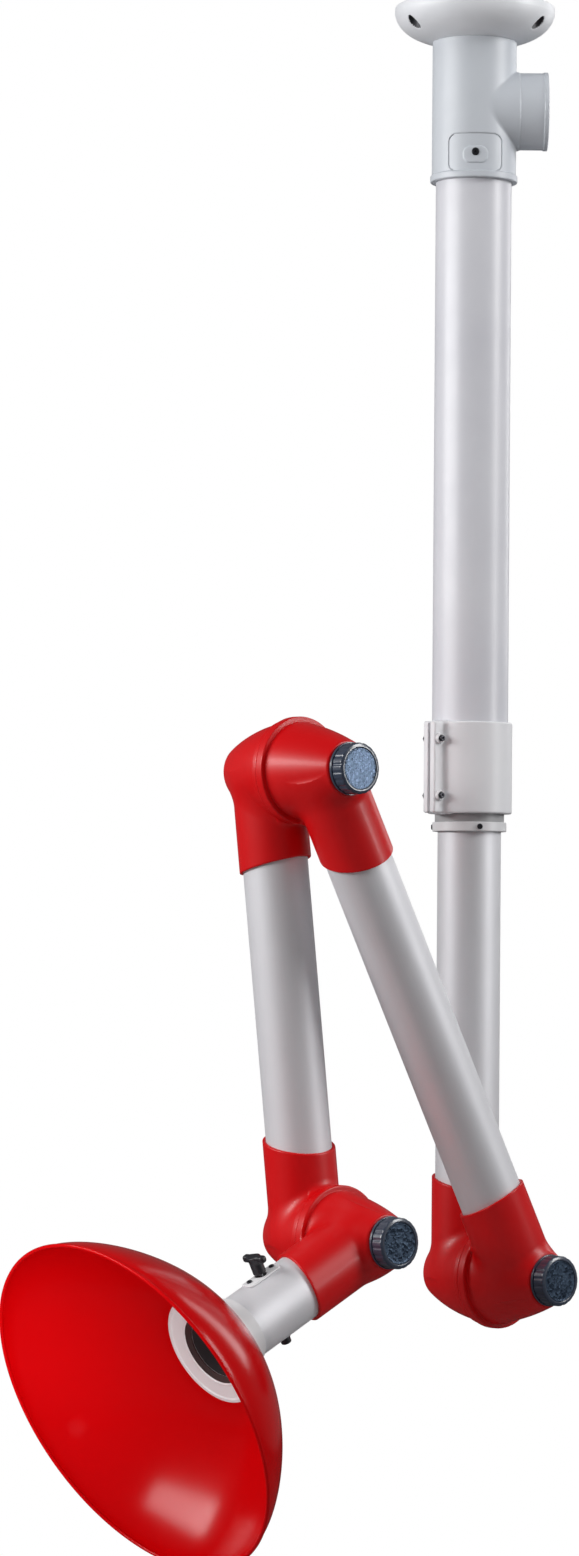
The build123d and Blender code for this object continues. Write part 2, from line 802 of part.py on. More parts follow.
def save(name, shapes):
    """Write one sub-part as a STEP file, with one or more separate solids."""
    if not isinstance(shapes, list):
        shapes = [shapes]
    solids = [solid for shape in shapes for solid in shape.solids()]
    part = Compound(children=solids) if len(solids) > 1 else solids[0]
    part.label = name
    export_step(part, "parts/" + name + ".step")


def joint_parts(name, pivot, back_heading, front_heading):
    """Write the ten pieces of one turning joint at its pivot."""
    middle = pivot + to_middle

    def at_back(shape):
        return framed(middle, back_heading, back, shape)

    def at_front(shape):
        return framed(middle, front_heading, front, shape)

    save(name + "_back_housing", at_back(back_housing()))
    save(name + "_front_housing", at_front(front_housing()))
    save(name + "_friction_ring", at_back(friction_ring()))
    save(name + "_back_spider", at_back(spider(bolt_radius + seat_clearance)))
    save(name + "_front_spider", at_front(spider(bolt_radius + running_clearance)))
    save(name + "_pivot_bolt", at_back(pivot_bolt()))
    save(name + "_disc_springs", [at_back(washer) for washer in disc_springs()])
    save(name + "_lock_nut", at_back(lock_nut()))
    save(name + "_knob_washer", at_front(knob_washer()))
    save(name + "_tension_knob", at_front(tension_knob()))


def column_parts():
    """Write the pieces that stay with the ceiling, and the sliding tube."""
    save("ceiling_flange", ceiling_flange())
    save("tee_body", tee_body())
    save("tee_screws", tee_screws())
    save("outer_tube", outer_tube())
    save("clamp_collar", clamp_collar())
    save("clamp_screws", clamp_screws())
    save("boss_washers", boss_washers())
    save("clamp_nuts", clamp_nuts())
    save("guide_bush", guide_bush())
    save("stop_ring", stop_ring())
    save("ring_screws", ring_screws())
    save("slide_guide_ring", slide_guide_ring())
    save("retaining_rings", retaining_rings())
    save("drop_tube", drop_tube())


def hood_parts():
    """Write the pieces beyond the wrist."""
    def at_hood(shape):
        return framed(wrist + to_front, damper_heading, hood_heading, shape)

    pieces = {
        "hood_tube": hood_tube(),
        "hood": hood(),
        "hood_nozzle": hood_nozzle(),
        "hood_rivets": hood_rivets(),
        "spindle_bushes": spindle_bushes(),
        "damper_saddle": damper_saddle(),
        "saddle_screws": saddle_screws(),
        "damper_spindle": damper_spindle(),
        "damper_blade": damper_blade(),
        "damper_handle": damper_handle(),
        "spindle_cap": spindle_cap(),
    }
    for name, shapes in pieces.items():
        if not isinstance(shapes, list):
            shapes = [shapes]
        save(name, [at_hood(shape) for shape in shapes])


os.makedirs("parts", exist_ok=True)
column_parts()
joint_parts("shoulder", shoulder, up, first_arm_heading)
joint_parts("elbow", elbow, second_arm_heading, first_arm_heading * -1)
joint_parts("wrist", wrist, second_arm_heading * -1, hood_heading)
save("first_arm_tube", arm_duct(shoulder + to_front, elbow + to_front))
save("second_arm_tube", arm_duct(elbow, wrist))
hood_parts()
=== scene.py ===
"""Dressed model of a ceiling-hung fume extraction arm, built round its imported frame.

Sizes are in millimetres and become metres when a piece is made. Every piece that
repeats a CAD node keeps that node's place, and rides on the same body.
"""

import logging
import math
from collections.abc import Callable, Sequence
from dataclasses import dataclass, field, replace
from enum import Enum

import bpy
import numpy as np
from mathutils import Matrix, Vector


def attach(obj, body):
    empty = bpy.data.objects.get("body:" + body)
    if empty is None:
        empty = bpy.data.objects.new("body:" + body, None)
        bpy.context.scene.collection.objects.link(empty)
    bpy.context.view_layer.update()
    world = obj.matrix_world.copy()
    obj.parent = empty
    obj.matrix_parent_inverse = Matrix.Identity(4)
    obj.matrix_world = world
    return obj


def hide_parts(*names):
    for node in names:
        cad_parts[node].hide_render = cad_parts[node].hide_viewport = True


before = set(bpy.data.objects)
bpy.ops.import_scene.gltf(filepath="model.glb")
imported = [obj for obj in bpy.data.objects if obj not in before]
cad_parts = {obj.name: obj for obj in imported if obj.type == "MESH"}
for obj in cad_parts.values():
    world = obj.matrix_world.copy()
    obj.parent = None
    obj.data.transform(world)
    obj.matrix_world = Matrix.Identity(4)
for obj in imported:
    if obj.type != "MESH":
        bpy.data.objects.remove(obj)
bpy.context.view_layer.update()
LOG = logging.getLogger("extraction_arm")

METRE = 0.001
IMAGE_HEIGHT = 1556
SMOOTH_DEG = 32.0
THROUGH = 200.0
Profile = list[tuple[float, float]]
Distance = Callable[[np.ndarray], np.ndarray]

# Corners: one flatter than STRAIGHT stays, an arc takes at most ARC_SHARE of a side, and
# the points beside it stand at SUPPORT_SHARE of its reach.
STRAIGHT = math.radians(178)
ARC_SHARE = 0.42
SUPPORT_SHARE = 1.12

# Skins: planes measured at once, the probe for slopes, and how points settle on the surface.
SLAB = 24
PROBE_SHARE = 0.05
SETTLING_ROUNDS = 4
SETTLING_SHARE = 0.9
LEAST_SLOPE = 0.25


# Surfaces


@dataclass
class Surface:
    """Points in millimetres, the faces between them, and normals if they are known."""

    points: np.ndarray
    faces: list
    normals: np.ndarray | None = None

    def placed(self, place: Matrix) -> "Surface":
        """Move the surface by a matrix in millimetres.

        Args:
            place: rotation and translation.

        Returns:
            The moved surface.
        """
        turn = np.array(place.to_3x3())
        shift = np.array(place.to_translation())
        normals = None if self.normals is None else self.normals @ turn.T
        return Surface(self.points @ turn.T + shift, self.faces, normals)

    @property
    def middles(self) -> np.ndarray:
        """Middle of every face."""
        return np.array([self.points[list(face)].mean(axis=0) for face in self.faces])


def rounded(corners: Sequence[tuple[float, ...]], steps: int = 5, closed: bool = True) -> Profile:
    """Turn a polygon's corners into arcs, with a close point on each side of every arc.

    Args:
        corners: points as (x, y) or (x, y, corner radius).
        steps: pieces that each arc is divided into.
        closed: whether the last corner joins the first.

    Returns:
        The points of the softened outline.
    """
    result: Profile = []
    count = len(corners)
    for number, corner in enumerate(corners):
        here = Vector(corner[:2])
        radius = corner[2] if len(corner) > 2 else 0.0
        before = Vector(corners[number - 1][:2]) - here
        after = Vector(corners[(number + 1) % count][:2]) - here
        ends = not closed and number in (0, count - 1)
        if radius <= 0 or ends or before.angle(after) > STRAIGHT:
            result.append((here.x, here.y))
            continue
        half = math.tan(before.angle(after) / 2)
        reach = min(radius / half, ARC_SHARE * before.length, ARC_SHARE * after.length)
        first, last = before.normalized(), after.normalized()
        spread = reach * half / math.sin(before.angle(after) / 2)
        middle = here + (first + last).normalized() * spread
        start = here + first * reach - middle
        swing = start.angle_signed(here + last * reach - middle)
        result.append(tuple(here + first * reach * SUPPORT_SHARE))
        for step in range(steps + 1):
            arm = start.copy()
            arm.rotate(Matrix.Rotation(-swing * step / steps, 2))
            result.append(tuple(middle + arm))
        result.append(tuple(here + last * reach * SUPPORT_SHARE))
    return result


def bezier(corners: Sequence[tuple[float, float]], steps: int) -> Profile:
    """Curve that a few control points draw.

    Args:
        corners: the control points.
        steps: number of parts.

    Returns:
        The points along the curve.
    """
    last = len(corners) - 1
    curve = []
    for step in range(steps + 1):
        t = step / steps
        shares = np.array([math.comb(last, k) * t**k * (1 - t) ** (last - k) for k in range(last + 1)])
        curve.append(tuple((shares @ np.array(corners, float)).tolist()))
    return curve


def turned(profile: Profile, sides: int = 96, closed: bool = True) -> Surface:
    """Turn an outline of radius and height about the Z axis.

    Args:
        profile: (radius, height) points; an open one starts and ends on the axis.
        sides: faces round the axis.
        closed: whether the outline is a closed loop away from the axis.

    Returns:
        The turned surface.
    """
    outline = np.array(profile, float)
    area = np.sum(outline[:, 0] * np.roll(outline[:, 1], -1) - np.roll(outline[:, 0], -1) * outline[:, 1])
    if area < 0:
        outline = outline[::-1]
    angles = np.linspace(0, 2 * math.pi, sides, endpoint=False)
    body = outline if closed else outline[1:-1]
    rows = len(body)
    points = np.zeros((sides, rows, 3))
    points[:, :, 0] = np.cos(angles)[:, None] * body[:, 0]
    points[:, :, 1] = np.sin(angles)[:, None] * body[:, 0]
    points[:, :, 2] = body[:, 1]
    points = points.reshape(-1, 3)
    faces = []
    spans = rows if closed else rows - 1
    for side in range(sides):
        here, there = side * rows, (side + 1) % sides * rows
        for row in range(spans):
            above = (row + 1) % rows
            faces.append((here + row, there + row, there + above, here + above))
    if not closed:
        first, last = len(points), len(points) + 1
        points = np.vstack([points, (0, 0, outline[0, 1]), (0, 0, outline[-1, 1])])
        for side in range(sides):
            here, there = side * rows, (side + 1) % sides * rows
            faces.append((first, there, here))
            faces.append((here + rows - 1, there + rows - 1, last))
    return Surface(points, faces)


# Distance fields


def turned_distance(profile: Profile, step: float = 0.35, margin: float = 14.0) -> Distance:
    """Distance to a turned solid, negative inside, from a table over radius and height.

    Args:
        profile: closed outline of (radius, height) points.
        step: spacing of the table.
        margin: how far the table reaches past the outline.

    Returns:
        A function of points.
    """
    outline = np.array(profile, float)
    low = outline.min(0) - margin
    high = outline.max(0) + margin
    low[0] = min(low[0], 0.0)
    counts = np.ceil((high - low) / step).astype(int) + 1
    across = low[0] + step * np.arange(counts[0])
    along = low[1] + step * np.arange(counts[1])
    px, py = np.meshgrid(across, along, indexing="ij")
    nearest = np.full(px.shape, np.inf)
    inside = np.zeros(px.shape, bool)
    for (ax, ay), (bx, by) in zip(outline, np.roll(outline, -1, axis=0)):
        ex, ey = bx - ax, by - ay
        length = ex * ex + ey * ey
        if math.isclose(length, 0.0, abs_tol=1e-12):
            continue
        share = np.clip(((px - ax) * ex + (py - ay) * ey) / length, 0, 1)
        gap = (px - ax - share * ex) ** 2 + (py - ay - share * ey) ** 2
        on_axis = max(abs(ax), abs(bx)) < 1e-6
        if not on_axis:
            nearest = np.minimum(nearest, gap)
        crosses = (ay > py) != (by > py)
        with np.errstate(divide="ignore", invalid="ignore"):
            side = px < ex * (py - ay) / ey + ax
        inside ^= crosses & side
    table = np.where(inside, -1.0, 1.0) * np.sqrt(nearest)

    def distance(points: np.ndarray) -> np.ndarray:
        """Distance read from the table, between its nearest entries."""
        radius = np.hypot(points[:, 0], points[:, 1])
        u = np.clip((radius - low[0]) / step, 0, counts[0] - 1.001)
        v = np.clip((points[:, 2] - low[1]) / step, 0, counts[1] - 1.001)
        i, j = u.astype(int), v.astype(int)
        u, v = u - i, v - j
        lower = table[i, j] * (1 - u) + table[i + 1, j] * u
        upper = table[i, j + 1] * (1 - u) + table[i + 1, j + 1] * u
        return lower * (1 - v) + upper * v

    return distance


def soft_union(first: np.ndarray, second: np.ndarray, blend: float) -> np.ndarray:
    """Union of two fields with a fillet about as wide as blend."""
    share = np.clip(0.5 + 0.5 * (second - first) / blend, 0, 1)
    return second * (1 - share) + first * share - blend * share * (1 - share)


def soft_cut(first: np.ndarray, tool: np.ndarray, blend: float) -> np.ndarray:
    """Field with a tool taken out of it, its edges softened over blend."""
    return -soft_union(-first, tool, blend)


def bar(points: np.ndarray, radius: float, low: float, high: float, edge: float) -> np.ndarray:
    """Distance to a round bar on the Z axis whose ends have softened edges.

    Args:
        points: where to measure.
        radius: the bar's radius.
        low: height of its lower end.
        high: height of its upper end.
        edge: radius of the edges.

    Returns:
        The distances.
    """
    out = np.hypot(points[:, 0], points[:, 1]) - radius + edge
    end = np.abs(points[:, 2] - (low + high) / 2) - (high - low) / 2 + edge
    far = np.hypot(np.maximum(out, 0), np.maximum(end, 0))
    return far + np.minimum(np.maximum(out, end), 0) - edge


def block(points: np.ndarray, middle: Sequence[float], size: Sequence[float], edge: float) -> np.ndarray:
    """Distance to a box with softened edges.

    Args:
        points: where to measure.
        middle: the box's centre.
        size: its full sizes.
        edge: radius of its edges.

    Returns:
        The distances.
    """
    gap = np.abs(points - np.array(middle)) - np.array(size) / 2 + edge
    return np.linalg.norm(np.maximum(gap, 0), axis=1) + np.minimum(gap.max(1), 0) - edge


def turned_points(points: np.ndarray, degrees: float) -> np.ndarray:
    """Points as seen from axes turned about Z by an angle in degrees."""
    cosine, sine = math.cos(math.radians(degrees)), math.sin(math.radians(degrees))
    x = points[:, 0] * cosine + points[:, 1] * sine
    y = points[:, 1] * cosine - points[:, 0] * sine
    return np.stack([x, y, points[:, 2]], axis=1)


def along_x(points: np.ndarray, height: float) -> np.ndarray:
    """Points as seen from axes whose Z runs along X, starting at a height."""
    return np.stack([points[:, 1], points[:, 2] - height, points[:, 0]], axis=1)


def skin(distance: Distance, low: Sequence[float], high: Sequence[float], step: float) -> Surface:
    """Wrap a field's zero surface in four-sided faces.

    Args:
        distance: the field, negative inside.
        low: lowest corner of the space that holds the shape.
        high: its highest corner.
        step: size of the faces.

    Returns:
        The surface, with its points and normals taken from the field itself.
    """
    low_corner = np.array(low, float) - 2 * step
    counts = np.ceil((np.array(high, float) + 2 * step - low_corner) / step).astype(int) + 1
    axes = [low_corner[axis] + step * np.arange(counts[axis]) for axis in range(3)]
    values = np.empty(counts)
    plane = np.stack(np.meshgrid(axes[1], axes[2], indexing="ij"), axis=-1).reshape(-1, 2)
    for start in range(0, counts[0], SLAB):
        depth = min(SLAB, counts[0] - start)
        spots = np.empty((depth, len(plane), 3))
        spots[:, :, 0] = axes[0][start:start + depth, None]
        spots[:, :, 1:] = plane
        found = distance(spots.reshape(-1, 3))
        values[start:start + depth] = found.reshape(depth, counts[1], counts[2])
    inside = values < 0
    total = np.zeros((*(counts - 1), 3))
    hits = np.zeros(counts - 1)
    quads = []
    number = np.arange(np.prod(counts - 1)).reshape(counts - 1)
    for axis in range(3):
        near = [slice(None)] * 3
        far = [slice(None)] * 3
        near[axis], far[axis] = slice(None, -1), slice(1, None)
        a, b = values[tuple(near)], values[tuple(far)]
        crossing = inside[tuple(near)] != inside[tuple(far)]
        spot = np.argwhere(crossing)
        share = a[crossing] / (a[crossing] - b[crossing])
        place = spot.astype(float)
        place[:, axis] += share
        one, two = (axis + 1) % 3, (axis + 2) % 3
        sides = [(first, second) for first in (0, 1) for second in (0, 1)]
        cells = {}
        for first, second in sides:
            cell = spot.copy()
            cell[:, one] -= first
            cell[:, two] -= second
            cells[first, second] = cell
            fits = np.all((cell >= 0) & (cell < counts - 1), axis=1)
            key = tuple(cell[fits].T)
            np.add.at(total, key, place[fits])
            np.add.at(hits, key, 1)
        quad = np.stack([number[tuple(cells[side].T)] for side in ((1, 1), (0, 1), (0, 0), (1, 0))], axis=1)
        flip = ~inside[tuple(near)][crossing]
        quad[flip] = quad[flip][:, ::-1]
        quads.append(quad)
    active = hits > 0
    renumber = np.full(hits.size, -1)
    renumber[active.ravel()] = np.arange(active.sum())
    points = total[active] / hits[active][:, None] * step + low_corner
    faces = renumber[np.vstack(quads)]
    probe = step * PROBE_SHARE

    def slope(at: np.ndarray) -> np.ndarray:
        """Slope of the field at some points."""
        steps = np.eye(3) * probe
        return np.stack([(distance(at + one) - distance(at - one)) / (2 * probe) for one in steps], axis=1)

    start = points.copy()
    for _ in range(SETTLING_ROUNDS):
        gradient = slope(points)
        weight = np.maximum(np.sum(gradient**2, axis=1), LEAST_SLOPE)
        points = points - gradient * (distance(points) / weight)[:, None] * SETTLING_SHARE
        points = start + np.clip(points - start, -step, step)
    gradient = slope(points)
    length = np.maximum(np.linalg.norm(gradient, axis=1), 1e-9)
    return Surface(points, [tuple(face) for face in faces.tolist()], gradient / length[:, None])


# Shader groups


class Graph:
    """Short-hand for the nodes and links of one tree."""

    def __init__(self, tree: bpy.types.NodeTree) -> None:
        """Keep the tree and empty it."""
        self.tree = tree
        tree.nodes.clear()

    def node(self, kind: str, inputs: dict | None = None, **settings: object) -> bpy.types.Node:
        """Add a node.

        Args:
            kind: its type name.
            inputs: values or sockets for its inputs, by name or number.
            settings: its own properties.

        Returns:
            The node.
        """
        made = self.tree.nodes.new(kind)
        for name, value in settings.items():
            setattr(made, name, value)
        for name, value in (inputs or {}).items():
            socket = made.inputs[name]
            if isinstance(value, bpy.types.NodeSocket):
                self.tree.links.new(value, socket)
            else:
                socket.default_value = value
        return made

    def math(self, operation: str, first: object, second: object = 0.0) -> bpy.types.NodeSocket:
        """Add a Math node and return its output."""
        return self.node("ShaderNodeMath", {0: first, 1: second}, operation=operation).outputs[0]

    def noise(
        self, vector: bpy.types.NodeSocket, scale: object, detail: float, roughness: float = 0.5
    ) -> bpy.types.NodeSocket:
        """Add a Noise Texture and return its value."""
        inputs = {"Vector": vector, "Scale": scale, "Detail": detail, "Roughness": roughness}
        return self.node("ShaderNodeTexNoise", inputs).outputs["Fac"]


def group(name: str, kind: str, inputs: dict[str, tuple[str, object]], outputs: dict[str, str]) -> tuple:
    """Make an empty node group with named sockets.

    Args:
        name: the group's name.
        kind: its tree type.
        inputs: socket type and default for each input.
        outputs: socket type for each output.

    Returns:
        Its graph, its input node and its output node.
    """
    tree = bpy.data.node_groups.new(name, kind)
    for label, (socket_type, default) in inputs.items():
        socket = tree.interface.new_socket(label, in_out="INPUT", socket_type=socket_type)
        if default is not None:
            socket.default_value = default
    for label, socket_type in outputs.items():
        tree.interface.new_socket(label, in_out="OUTPUT", socket_type=socket_type)
    graph = Graph(tree)
    return graph, graph.node("NodeGroupInput"), graph.node("NodeGroupOutput")


FLOAT, VECTOR, SHAPE = "NodeSocketFloat", "NodeSocketVector", "NodeSocketGeometry"


class Effects:
    """The shader groups that the finishes share."""

    def __init__(self) -> None:
        """Build each group once."""
        self.mottle = self.build_mottle()
        self.grain = self.build_grain()
        self.drawn = self.build_drawn()
        self.sparkle = self.build_sparkle()

    @staticmethod
    def started(name: str, sizes: dict[str, float], results: Sequence[str]) -> tuple:
        """Start a shader group that reads a vector and some sizes.

        Args:
            name: the group's name.
            sizes: the sizes' names and defaults.
            results: the names of the values that it puts out.

        Returns:
            Its graph, the sockets that it reads and the sockets that it fills.
        """
        inputs = {"Vector": (VECTOR, None)} | {label: (FLOAT, value) for label, value in sizes.items()}
        graph, entry, leave = group(name, "ShaderNodeTree", inputs, dict.fromkeys(results, FLOAT))
        return graph, entry.outputs, leave.inputs

    def build_mottle(self) -> bpy.types.NodeTree:
        """Broad uneven tone and gloss, as on handled and painted surfaces."""
        graph, read, fill = self.started("uneven_tone", {"Size": 6.0, "Contrast": 1.0}, ("Tone", "Gloss"))
        for label, detail, factor in (("Tone", 4.0, 1.0), ("Gloss", 7.0, 3.7)):
            size = graph.math("MULTIPLY", read["Size"], factor)
            centred = graph.math("SUBTRACT", graph.noise(read["Vector"], size, detail, 0.62), 0.5)
            scaled = graph.math("MULTIPLY", centred, read["Contrast"])
            graph.tree.links.new(graph.math("ADD", scaled, 0.5), fill[label])
        return graph.tree

    def build_grain(self) -> bpy.types.NodeTree:
        """Fine moulded or sprayed grain with a slower ripple under it."""
        sizes = {"Grain": 900.0, "Ripple": 60.0, "Share": 0.5}
        graph, read, fill = self.started("surface_grain", sizes, ("Height",))
        fine = graph.noise(read["Vector"], read["Grain"], 2.0)
        slow = graph.noise(read["Vector"], read["Ripple"], 3.0)
        rest = graph.math("SUBTRACT", 1.0, read["Share"])
        slow_part = graph.math("MULTIPLY", slow, read["Share"])
        fine_part = graph.math("MULTIPLY", fine, rest)
        graph.tree.links.new(graph.math("ADD", slow_part, fine_part), fill["Height"])
        return graph.tree

    def build_drawn(self) -> bpy.types.NodeTree:
        """Fine lines along Z, as drawing and brushing leave."""
        graph, read, fill = self.started("drawn_lines", {"Fineness": 700.0, "Stretch": 0.015}, ("Lines",))
        squeeze = graph.node("ShaderNodeCombineXYZ", {"X": 1.0, "Y": 1.0, "Z": read["Stretch"]}).outputs[0]
        flat = graph.node("ShaderNodeVectorMath", {0: read["Vector"], 1: squeeze}, operation="MULTIPLY")
        graph.tree.links.new(graph.noise(flat.outputs[0], read["Fineness"], 4.0, 0.7), fill["Lines"])
        return graph.tree

    def build_sparkle(self) -> bpy.types.NodeTree:
        """Small flat facets: each facet's colour is set lighter or darker at random as a painted glint, and
        the cell edges give a bump.
        """
        graph, read, fill = self.started("faceted_face", {"Fineness": 260.0}, ("Facet", "Height"))
        cells = graph.node("ShaderNodeTexVoronoi", {"Vector": read["Vector"], "Scale": read["Fineness"]})
        shade = graph.node("ShaderNodeSeparateColor", {0: cells.outputs["Color"]})
        graph.tree.links.new(shade.outputs[0], fill["Facet"])
        graph.tree.links.new(cells.outputs["Distance"], fill["Height"])
        return graph.tree


class Pattern(Enum):
    """What shows in a finish besides its uneven tone."""

    GRAIN = "grain"
    DRAWN = "drawn"
    SPARKLE = "sparkle"


@dataclass(frozen=True)
class Finish:
    """One finish: its colours, gloss and pattern."""

    slot: str
    colour: tuple[float, float, float]
    shade: tuple[float, float, float]
    roughness: tuple[float, float] = (0.3, 0.42)
    metallic: float = 0.0
    coat: float = 0.0
    specular: float = 0.5
    pattern: Pattern = Pattern.GRAIN
    pattern_size: float = 900.0
    pattern_share: float = 0.25
    relief: float = 0.00006
    relief_strength: float = 0.5
    tone_size: float = 6.0
    tone_contrast: float = 1.6
    lean_deg: float = 0.0
    line_share: float = 0.4
    coat_roughness: float = 0.12

    def build(self, effects: Effects, name: str) -> bpy.types.Material:
        """Make the material.

        Args:
            effects: the shared shader groups.
            name: the material's name.

        Returns:
            The material.
        """
        material = bpy.data.materials.new(name)
        material.use_nodes = True
        graph = Graph(material.node_tree)
        coords = graph.node("ShaderNodeTexCoord").outputs["Object"]
        lean = (0.0, math.radians(self.lean_deg), 0.0)
        vector = graph.node("ShaderNodeMapping", {"Vector": coords, "Rotation": lean}).outputs[0]
        tone = graph.node(
            "ShaderNodeGroup",
            {"Vector": vector, "Size": self.tone_size, "Contrast": self.tone_contrast},
            node_tree=effects.mottle,
        )
        mixed, gloss = tone.outputs["Tone"], tone.outputs["Gloss"]
        grain = {"Grain": self.pattern_size, "Share": self.pattern_share}
        fineness = {"Fineness": self.pattern_size}
        tree, sizes, result = {
            Pattern.GRAIN: (effects.grain, grain, "Height"),
            Pattern.DRAWN: (effects.drawn, fineness, "Lines"),
            Pattern.SPARKLE: (effects.sparkle, fineness, "Height"),
        }[self.pattern]
        marks = graph.node("ShaderNodeGroup", {"Vector": vector, **sizes}, node_tree=tree)
        height = marks.outputs[result]
        if self.pattern is Pattern.DRAWN:
            tone_part = graph.math("MULTIPLY", mixed, 1 - self.line_share)
            mixed = graph.math("ADD", tone_part, graph.math("MULTIPLY", height, self.line_share))
        elif self.pattern is Pattern.SPARKLE:
            # On a faceted face the facet value sets colour and roughness; its colour part is a painted glint.
            mixed = gloss = marks.outputs["Facet"]
        colour = graph.node(
            "ShaderNodeMix",
            {"Factor": mixed, "A": (*self.shade, 1), "B": (*self.colour, 1)},
            data_type="RGBA",
        )
        low, high = self.roughness
        rough = graph.node("ShaderNodeMapRange", {"Value": gloss, "To Min": low, "To Max": high})
        relief = {"Height": height, "Distance": self.relief, "Strength": self.relief_strength}
        shader = graph.node(
            "ShaderNodeBsdfPrincipled",
            {
                "Base Color": colour.outputs["Result"],
                "Roughness": rough.outputs[0],
                "Normal": graph.node("ShaderNodeBump", relief).outputs[0],
                "Metallic": self.metallic,
                "Coat Weight": self.coat,
                "Coat Roughness": self.coat_roughness,
                "Specular IOR Level": self.specular,
            },
        )
        graph.node("ShaderNodeOutputMaterial", {"Surface": shader.outputs[0]})
        return material


class Palette:
    """Every finish of the arm, built when it is first asked for."""

    FINISHES = {
        "cast_paint": Finish(
            "flange_paint", (0.86, 0.87, 0.90), (0.78, 0.80, 0.84), (0.34, 0.5), relief=0.00012
        ),
        # Painted shade: near-black for the faces inside the flange's bolt seats, standing in for the shade in
        # the holes.
        "painted_hole_shade": Finish("flange_paint", (0.10, 0.10, 0.11), (0.07, 0.07, 0.08), (0.5, 0.65)),
        "tee_paint": Finish("tee_paint", (0.64, 0.67, 0.71), (0.56, 0.59, 0.64), (0.34, 0.5), relief=0.0001),
        "column_paint": Finish(
            "column_paint", (0.74, 0.74, 0.78), (0.64, 0.64, 0.69), (0.3, 0.42), relief=0.00005
        ),
        "collar_paint": Finish(
            "collar_paint", (0.83, 0.83, 0.85), (0.74, 0.74, 0.77), (0.36, 0.5), relief=0.0001
        ),
        "duct": Finish(
            "duct_aluminium", (0.79, 0.79, 0.82), (0.69, 0.69, 0.72), (0.48, 0.6), metallic=0.32,
            pattern=Pattern.DRAWN, pattern_size=520.0, relief=0.00004, tone_contrast=1.2,
        ),
        # Painted shade: near-black for the inside of every aluminium duct, where shade falls.
        "duct_inside_shade": Finish("duct_aluminium", (0.06, 0.055, 0.06), (0.03, 0.028, 0.03), (0.5, 0.7)),
        "red_moulded": Finish(
            "red_housing", (0.66, 0.0006, 0.003), (0.59, 0.0006, 0.002), (0.34, 0.44), coat=0.06,
            specular=0.34, pattern_size=1300.0, pattern_share=0.4, relief=0.00008, relief_strength=0.16,
        ),
        "red_coat": Finish(
            "red_hood", (0.53, 0.0005, 0.002), (0.49, 0.0005, 0.0015), (0.16, 0.2), specular=0.14,
            pattern_size=900.0, pattern_share=0.3, relief=0.00003, relief_strength=0.04,
        ),
        "pale_moulded": Finish("pale_plastic", (0.80, 0.80, 0.81), (0.70, 0.70, 0.72), (0.34, 0.48)),
        # Painted shade: dark red-brown for the nozzle's throat, standing in for the shade in the hole.
        "nozzle_throat_shade": Finish("pale_plastic", (0.055, 0.032, 0.032), (0.035, 0.02, 0.02), (0.45, 0.6)),
        "grey_moulded": Finish("pale_plastic", (0.42, 0.42, 0.43), (0.33, 0.33, 0.34), (0.4, 0.55)),
        "dark_moulded": Finish("dark_plastic", (0.022, 0.022, 0.026), (0.012, 0.012, 0.016), (0.34, 0.5)),
        "knob_side": Finish(
            "knob_plastic", (0.05, 0.065, 0.10), (0.025, 0.034, 0.058), (0.24, 0.38), coat=0.6
        ),
        # Knob face: facet colours vary as painted glints over a real facet bump.
        "knob_face": Finish(
            "knob_plastic", (0.062, 0.095, 0.145), (0.02, 0.034, 0.062), (0.2, 0.38), metallic=0.7,
            pattern=Pattern.SPARKLE, pattern_size=330.0, relief=0.0005, relief_strength=0.4,
        ),
        "zinc": Finish(
            "steel", (0.60, 0.60, 0.63), (0.42, 0.42, 0.45), (0.26, 0.42), metallic=1.0, relief=0.00003
        ),
        "black_steel": Finish(
            "dark_steel", (0.07, 0.07, 0.08), (0.03, 0.03, 0.035), (0.3, 0.45), metallic=0.8, relief=0.00003
        ),
        "liner": Finish("friction_liner", (0.72, 0.69, 0.60), (0.60, 0.57, 0.48), (0.5, 0.65)),
    }

    def __init__(self) -> None:
        """Start with no material."""
        self.effects = Effects()
        self.made: dict[str, bpy.types.Material] = {}

    def get(self, name: str, lean_deg: float = 0.0) -> bpy.types.Material:
        """Give a finish's material, with its pattern leaning with the piece.

        Args:
            name: the finish.
            lean_deg: how far the piece's length leans from upright, about Y.

        Returns:
            The material.
        """
        key = f"{name}_{round(lean_deg)}" if lean_deg else name
        if key not in self.made:
            self.made[key] = replace(self.FINISHES[name], lean_deg=lean_deg).build(self.effects, key)
        return self.made[key]

    def slot(self, name: str) -> str:
        """Name the record's slot of a finish."""
        return self.FINISHES[name].slot


# Geometry node trees


